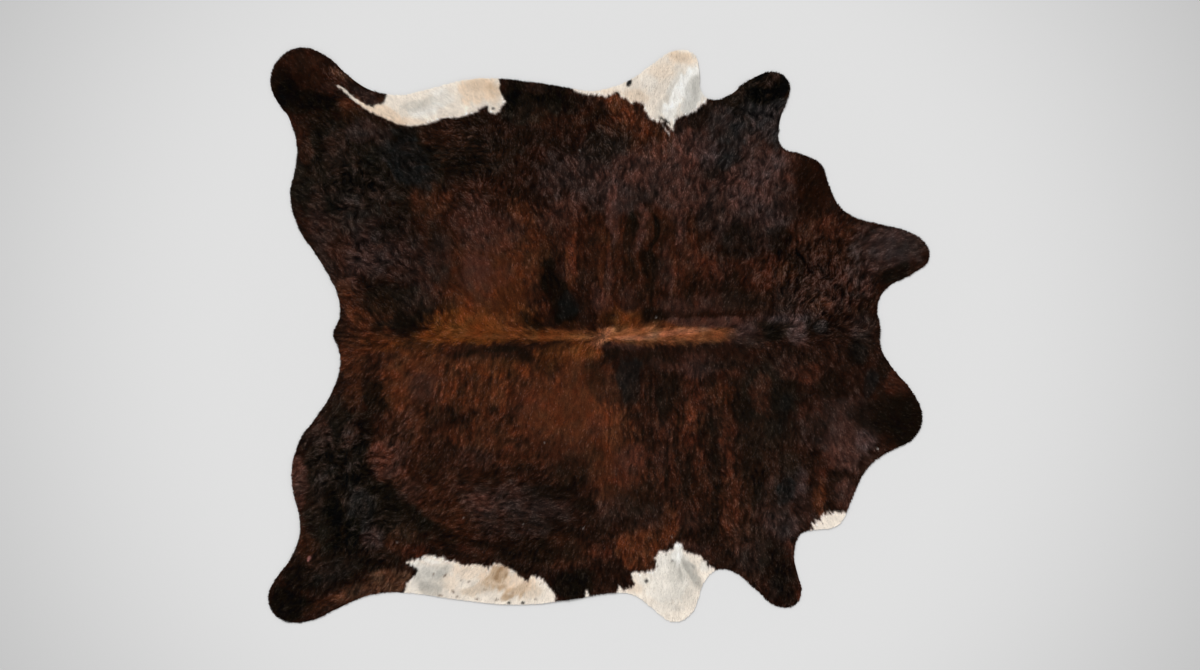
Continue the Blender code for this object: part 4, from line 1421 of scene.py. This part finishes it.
def stretched(tree, place, sizes):
    """A place multiplied by a size along each axis."""
    node = tree.nodes.new("ShaderNodeVectorMath")
    node.operation = "MULTIPLY"
    feed(tree, node.inputs[0], place)
    feed(tree, node.inputs[1], sizes)
    return node.outputs[0]


def strand_group():
    """Single hairs in a tuft: noise drawn out along the tuft's own map, so it is fine across and
    slow along. Contrast is how far it lightens and darkens; it also stirs the gloss and height."""
    tree, taken, given = new_group(
        "hair_strands",
        [("Coat", "Color", (0.5, 0.5, 0.5, 1)), ("Map", "Vector", None), ("Contrast", "Float", 0.3),
         ("Smooth", "Float", 0.4), ("Rough", "Float", 0.6)],
        [("Color", "Color"), ("Roughness", "Float"), ("Height", "Float")])
    place = stretched(tree, taken.outputs["Map"], STRANDS)
    strand = noise_node(tree, place, scale=1.0, detail=1.0, roughness=0.5)
    colour = lit_by(tree, taken.outputs["Coat"], strand, taken.outputs["Contrast"])
    gloss = spread(tree, strand, *NOISE_SPAN, taken.outputs["Rough"], taken.outputs["Smooth"])
    tree.links.new(colour, given.inputs["Color"])
    tree.links.new(gloss, given.inputs["Roughness"])
    tree.links.new(strand, given.inputs["Height"])
    return tree


def suede_group():
    """Raw leather: blotches of two tones in slow noise, with a short nap in quick noise that
    darkens its own hollows as painted shade and gives the height."""
    tree, taken, given = new_group(
        "raw_leather",
        [("Place", "Vector", None), ("Pale", "Color", (0.5, 0.5, 0.5, 1)),
         ("Deep", "Color", (0.4, 0.4, 0.4, 1)), ("Nap", "Float", 0.25)],
        [("Color", "Color"), ("Roughness", "Float"), ("Height", "Float")])
    blotch = noise_node(tree, taken.outputs["Place"], BLOTCHES, detail=5.0, roughness=0.6)
    nap = noise_node(tree, taken.outputs["Place"], NAP, detail=3.0, roughness=0.6)
    mix = tree.nodes.new("ShaderNodeMix")
    mix.data_type = "RGBA"
    tree.links.new(spread(tree, blotch, *BLOTCH_SPAN, 0.0, 1.0), mix.inputs["Factor"])
    tree.links.new(taken.outputs["Pale"], mix.inputs["A"])
    tree.links.new(taken.outputs["Deep"], mix.inputs["B"])
    colour = lit_by(tree, mix.outputs["Result"], nap, taken.outputs["Nap"])
    tree.links.new(colour, given.inputs["Color"])
    tree.links.new(spread(tree, nap, *NOISE_SPAN, *NAP_ROUGHNESS), given.inputs["Roughness"])
    tree.links.new(nap, given.inputs["Height"])
    return tree


def new_material(name, group, specular):
    """A material whose colour, roughness and bump come from a group placed in it: the material,
    its tree and the group's node."""
    material = bpy.data.materials.new(name)
    material.use_nodes = True
    tree = material.node_tree
    shader = tree.nodes["Principled BSDF"]
    shader.inputs["Specular IOR Level"].default_value = specular
    placed = tree.nodes.new("ShaderNodeGroup")
    placed.node_tree = group
    bump = tree.nodes.new("ShaderNodeBump")
    bump.inputs["Strength"].default_value = BUMP_STRENGTH
    bump.inputs["Distance"].default_value = BUMP_DEPTH
    tree.links.new(placed.outputs["Color"], shader.inputs["Base Color"])
    tree.links.new(placed.outputs["Roughness"], shader.inputs["Roughness"])
    tree.links.new(placed.outputs["Height"], bump.inputs["Height"])
    tree.links.new(bump.outputs["Normal"], shader.inputs["Normal"])
    return material, tree, placed


def coat_colour(tree):
    """The colour that the piece's points carry."""
    node = tree.nodes.new("ShaderNodeAttribute")
    node.attribute_name = "coat"
    return node.outputs["Color"]


def place_on_hide(tree):
    """The place on the piece itself, in metres."""
    return tree.nodes.new("ShaderNodeTexCoord").outputs["Object"]


def hair_material(name, group, finish, place):
    """Hair in the colour that the piece carries, with its strands along a place that a function
    gives for the material's tree."""
    material, tree, placed = new_material(name, group, finish.specular)
    tree.links.new(coat_colour(tree), placed.inputs["Coat"])
    tree.links.new(place(tree), placed.inputs["Map"])
    placed.inputs["Contrast"].default_value = finish.contrast
    placed.inputs["Smooth"].default_value = finish.smooth
    placed.inputs["Rough"].default_value = finish.rough
    return material


def on_tuft(tree):
    """The place on each tuft's own map, for the strands."""
    strands = tree.nodes.new("ShaderNodeUVMap")
    strands.uv_map = "strands"
    return strands.outputs["UV"]


def on_skin(tree):
    """The place on the skin under the coat, for a stubble of hair roots."""
    return stretched(tree, place_on_hide(tree), STUBBLE)


def raw_material(name, group, pale, deep, nap):
    """Raw leather of two tones, by the place on the hide."""
    material, tree, placed = new_material(name, group, LEATHER_SPECULAR)
    tree.links.new(place_on_hide(tree), placed.inputs["Place"])
    placed.inputs["Pale"].default_value = (*as_light(tone_of(pale)), 1)
    placed.inputs["Deep"].default_value = (*as_light(tone_of(deep)), 1)
    placed.inputs["Nap"].default_value = nap
    return material


# ================================================================= floor, lights and camera

PHOTO_WIDTH_PX = 1200
PHOTO_HEIGHT_PX = 670
HIDE_MIDDLE_PX = (599.0, 335.25)         # the middle of the hide's box in the photograph
PIXEL = 3.225 * MM                       # the hide's length over its pixels
LENS = 50.0
SENSOR = 36.0
FLOOR_HALF = 20.0
FLOOR_GAP = 0.3 * MM                     # how far the floor is below the hide's origin
FLOOR_TONE = 0.64                        # the floor's reflectance under the hide
FLOOR_SHADED_TONE = 0.40                   # and towards the edge of the studio, as painted shade where the light falls off
FLOOR_FADE = (1.15, 2.9)                 # where it begins to fall off, and where it has
FLOOR_ROUGHNESS = 0.9
FLOOR_SPECULAR = 0.1
SKY_STRENGTH = 0.63
SOFTBOX_STRENGTH = 2.20
SOFTBOX_SPREAD = math.radians(34)        # how broad the soft light is, as seen from the hide
SOFTBOX_AIM = (0.35, -0.75, -1.0)        # the way its light goes


def build_floor():
    """A wide plane just under the hide. Its colour darkens softly away from the middle, as painted
    shade where the studio's light falls off.
    """
    half = FLOOR_HALF
    corners = [(-half, -half), (half, -half), (half, half), (-half, half)]
    mesh = bpy.data.meshes.new("floor")
    mesh.from_pydata([(x, y, -FLOOR_GAP) for x, y in corners], [], [(0, 1, 2, 3)])
    floor = bpy.data.objects.new("floor", mesh)
    bpy.context.scene.collection.objects.link(floor)
    material = bpy.data.materials.new("studio_floor")
    material.use_nodes = True
    tree = material.node_tree
    shader = tree.nodes["Principled BSDF"]
    shader.inputs["Roughness"].default_value = FLOOR_ROUGHNESS
    shader.inputs["Specular IOR Level"].default_value = FLOOR_SPECULAR
    away = tree.nodes.new("ShaderNodeVectorMath")
    away.operation = "LENGTH"
    tree.links.new(place_on_hide(tree), away.inputs[0])
    tone = spread(tree, away.outputs["Value"], *FLOOR_FADE, FLOOR_TONE, FLOOR_SHADED_TONE)
    tone.node.interpolation_type = "SMOOTHSTEP"
    tree.links.new(tone, shader.inputs["Base Color"])
    mesh.materials.append(material)


def build_light():
    """An even white studio: a bright world, and one broad soft light from past the upper flank."""
    scene = bpy.context.scene
    world = scene.world or bpy.data.worlds.new("studio")
    scene.world = world
    world.use_nodes = True
    sky = world.node_tree.nodes["Background"]
    sky.inputs["Color"].default_value = (1.0, 1.0, 1.0, 1)
    sky.inputs["Strength"].default_value = SKY_STRENGTH
    softbox = bpy.data.lights.new("softbox", "SUN")
    softbox.angle = SOFTBOX_SPREAD
    softbox.energy = SOFTBOX_STRENGTH
    holder = bpy.data.objects.new("softbox", softbox)
    holder.rotation_euler = Vector(SOFTBOX_AIM).to_track_quat("-Z", "Y").to_euler()
    scene.collection.objects.link(holder)


def build_camera():
    """Straight above, so far off that the photograph's width covers its pixels' real size."""
    camera = bpy.data.cameras.new("camera")
    camera.lens = LENS
    camera.sensor_width = SENSOR
    holder = bpy.data.objects.new("camera", camera)
    holder.location = (
        (PHOTO_WIDTH_PX / 2 - HIDE_MIDDLE_PX[0]) * PIXEL,
        (HIDE_MIDDLE_PX[1] - PHOTO_HEIGHT_PX / 2) * PIXEL,
        PHOTO_WIDTH_PX * PIXEL * LENS / SENSOR,
    )
    bpy.context.scene.collection.objects.link(holder)
    bpy.context.scene.camera = holder
    bpy.context.scene.view_settings.view_transform = "Standard"


def build_rug():
    """The dressed hide in place of the frame's solid."""
    places, triangles = welded(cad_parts["cowhide"])
    rim = even_rim(rim_of(places, triangles))
    lie = Lie(places, rim)
    coat = Coat(rim)
    strands = strand_group()
    leather = suede_group()
    sheet = build_sheet(rim, lie, coat, [
        hair_material("skin", strands, SKIN, on_skin),
        raw_material("cut_edge", leather, "bark", "cocoa", 0.2),
        raw_material("flesh_side", leather, "suede", "camel", 0.12),
    ])
    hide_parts("cowhide")
    hair = build_hair(
        rim, lie, coat,
        hair_material("dark_hair", strands, DARK_HAIR, on_tuft),
        hair_material("belly_hair", strands, BELLY_HAIR, on_tuft))


build_floor()
build_light()
build_camera()
build_rug()
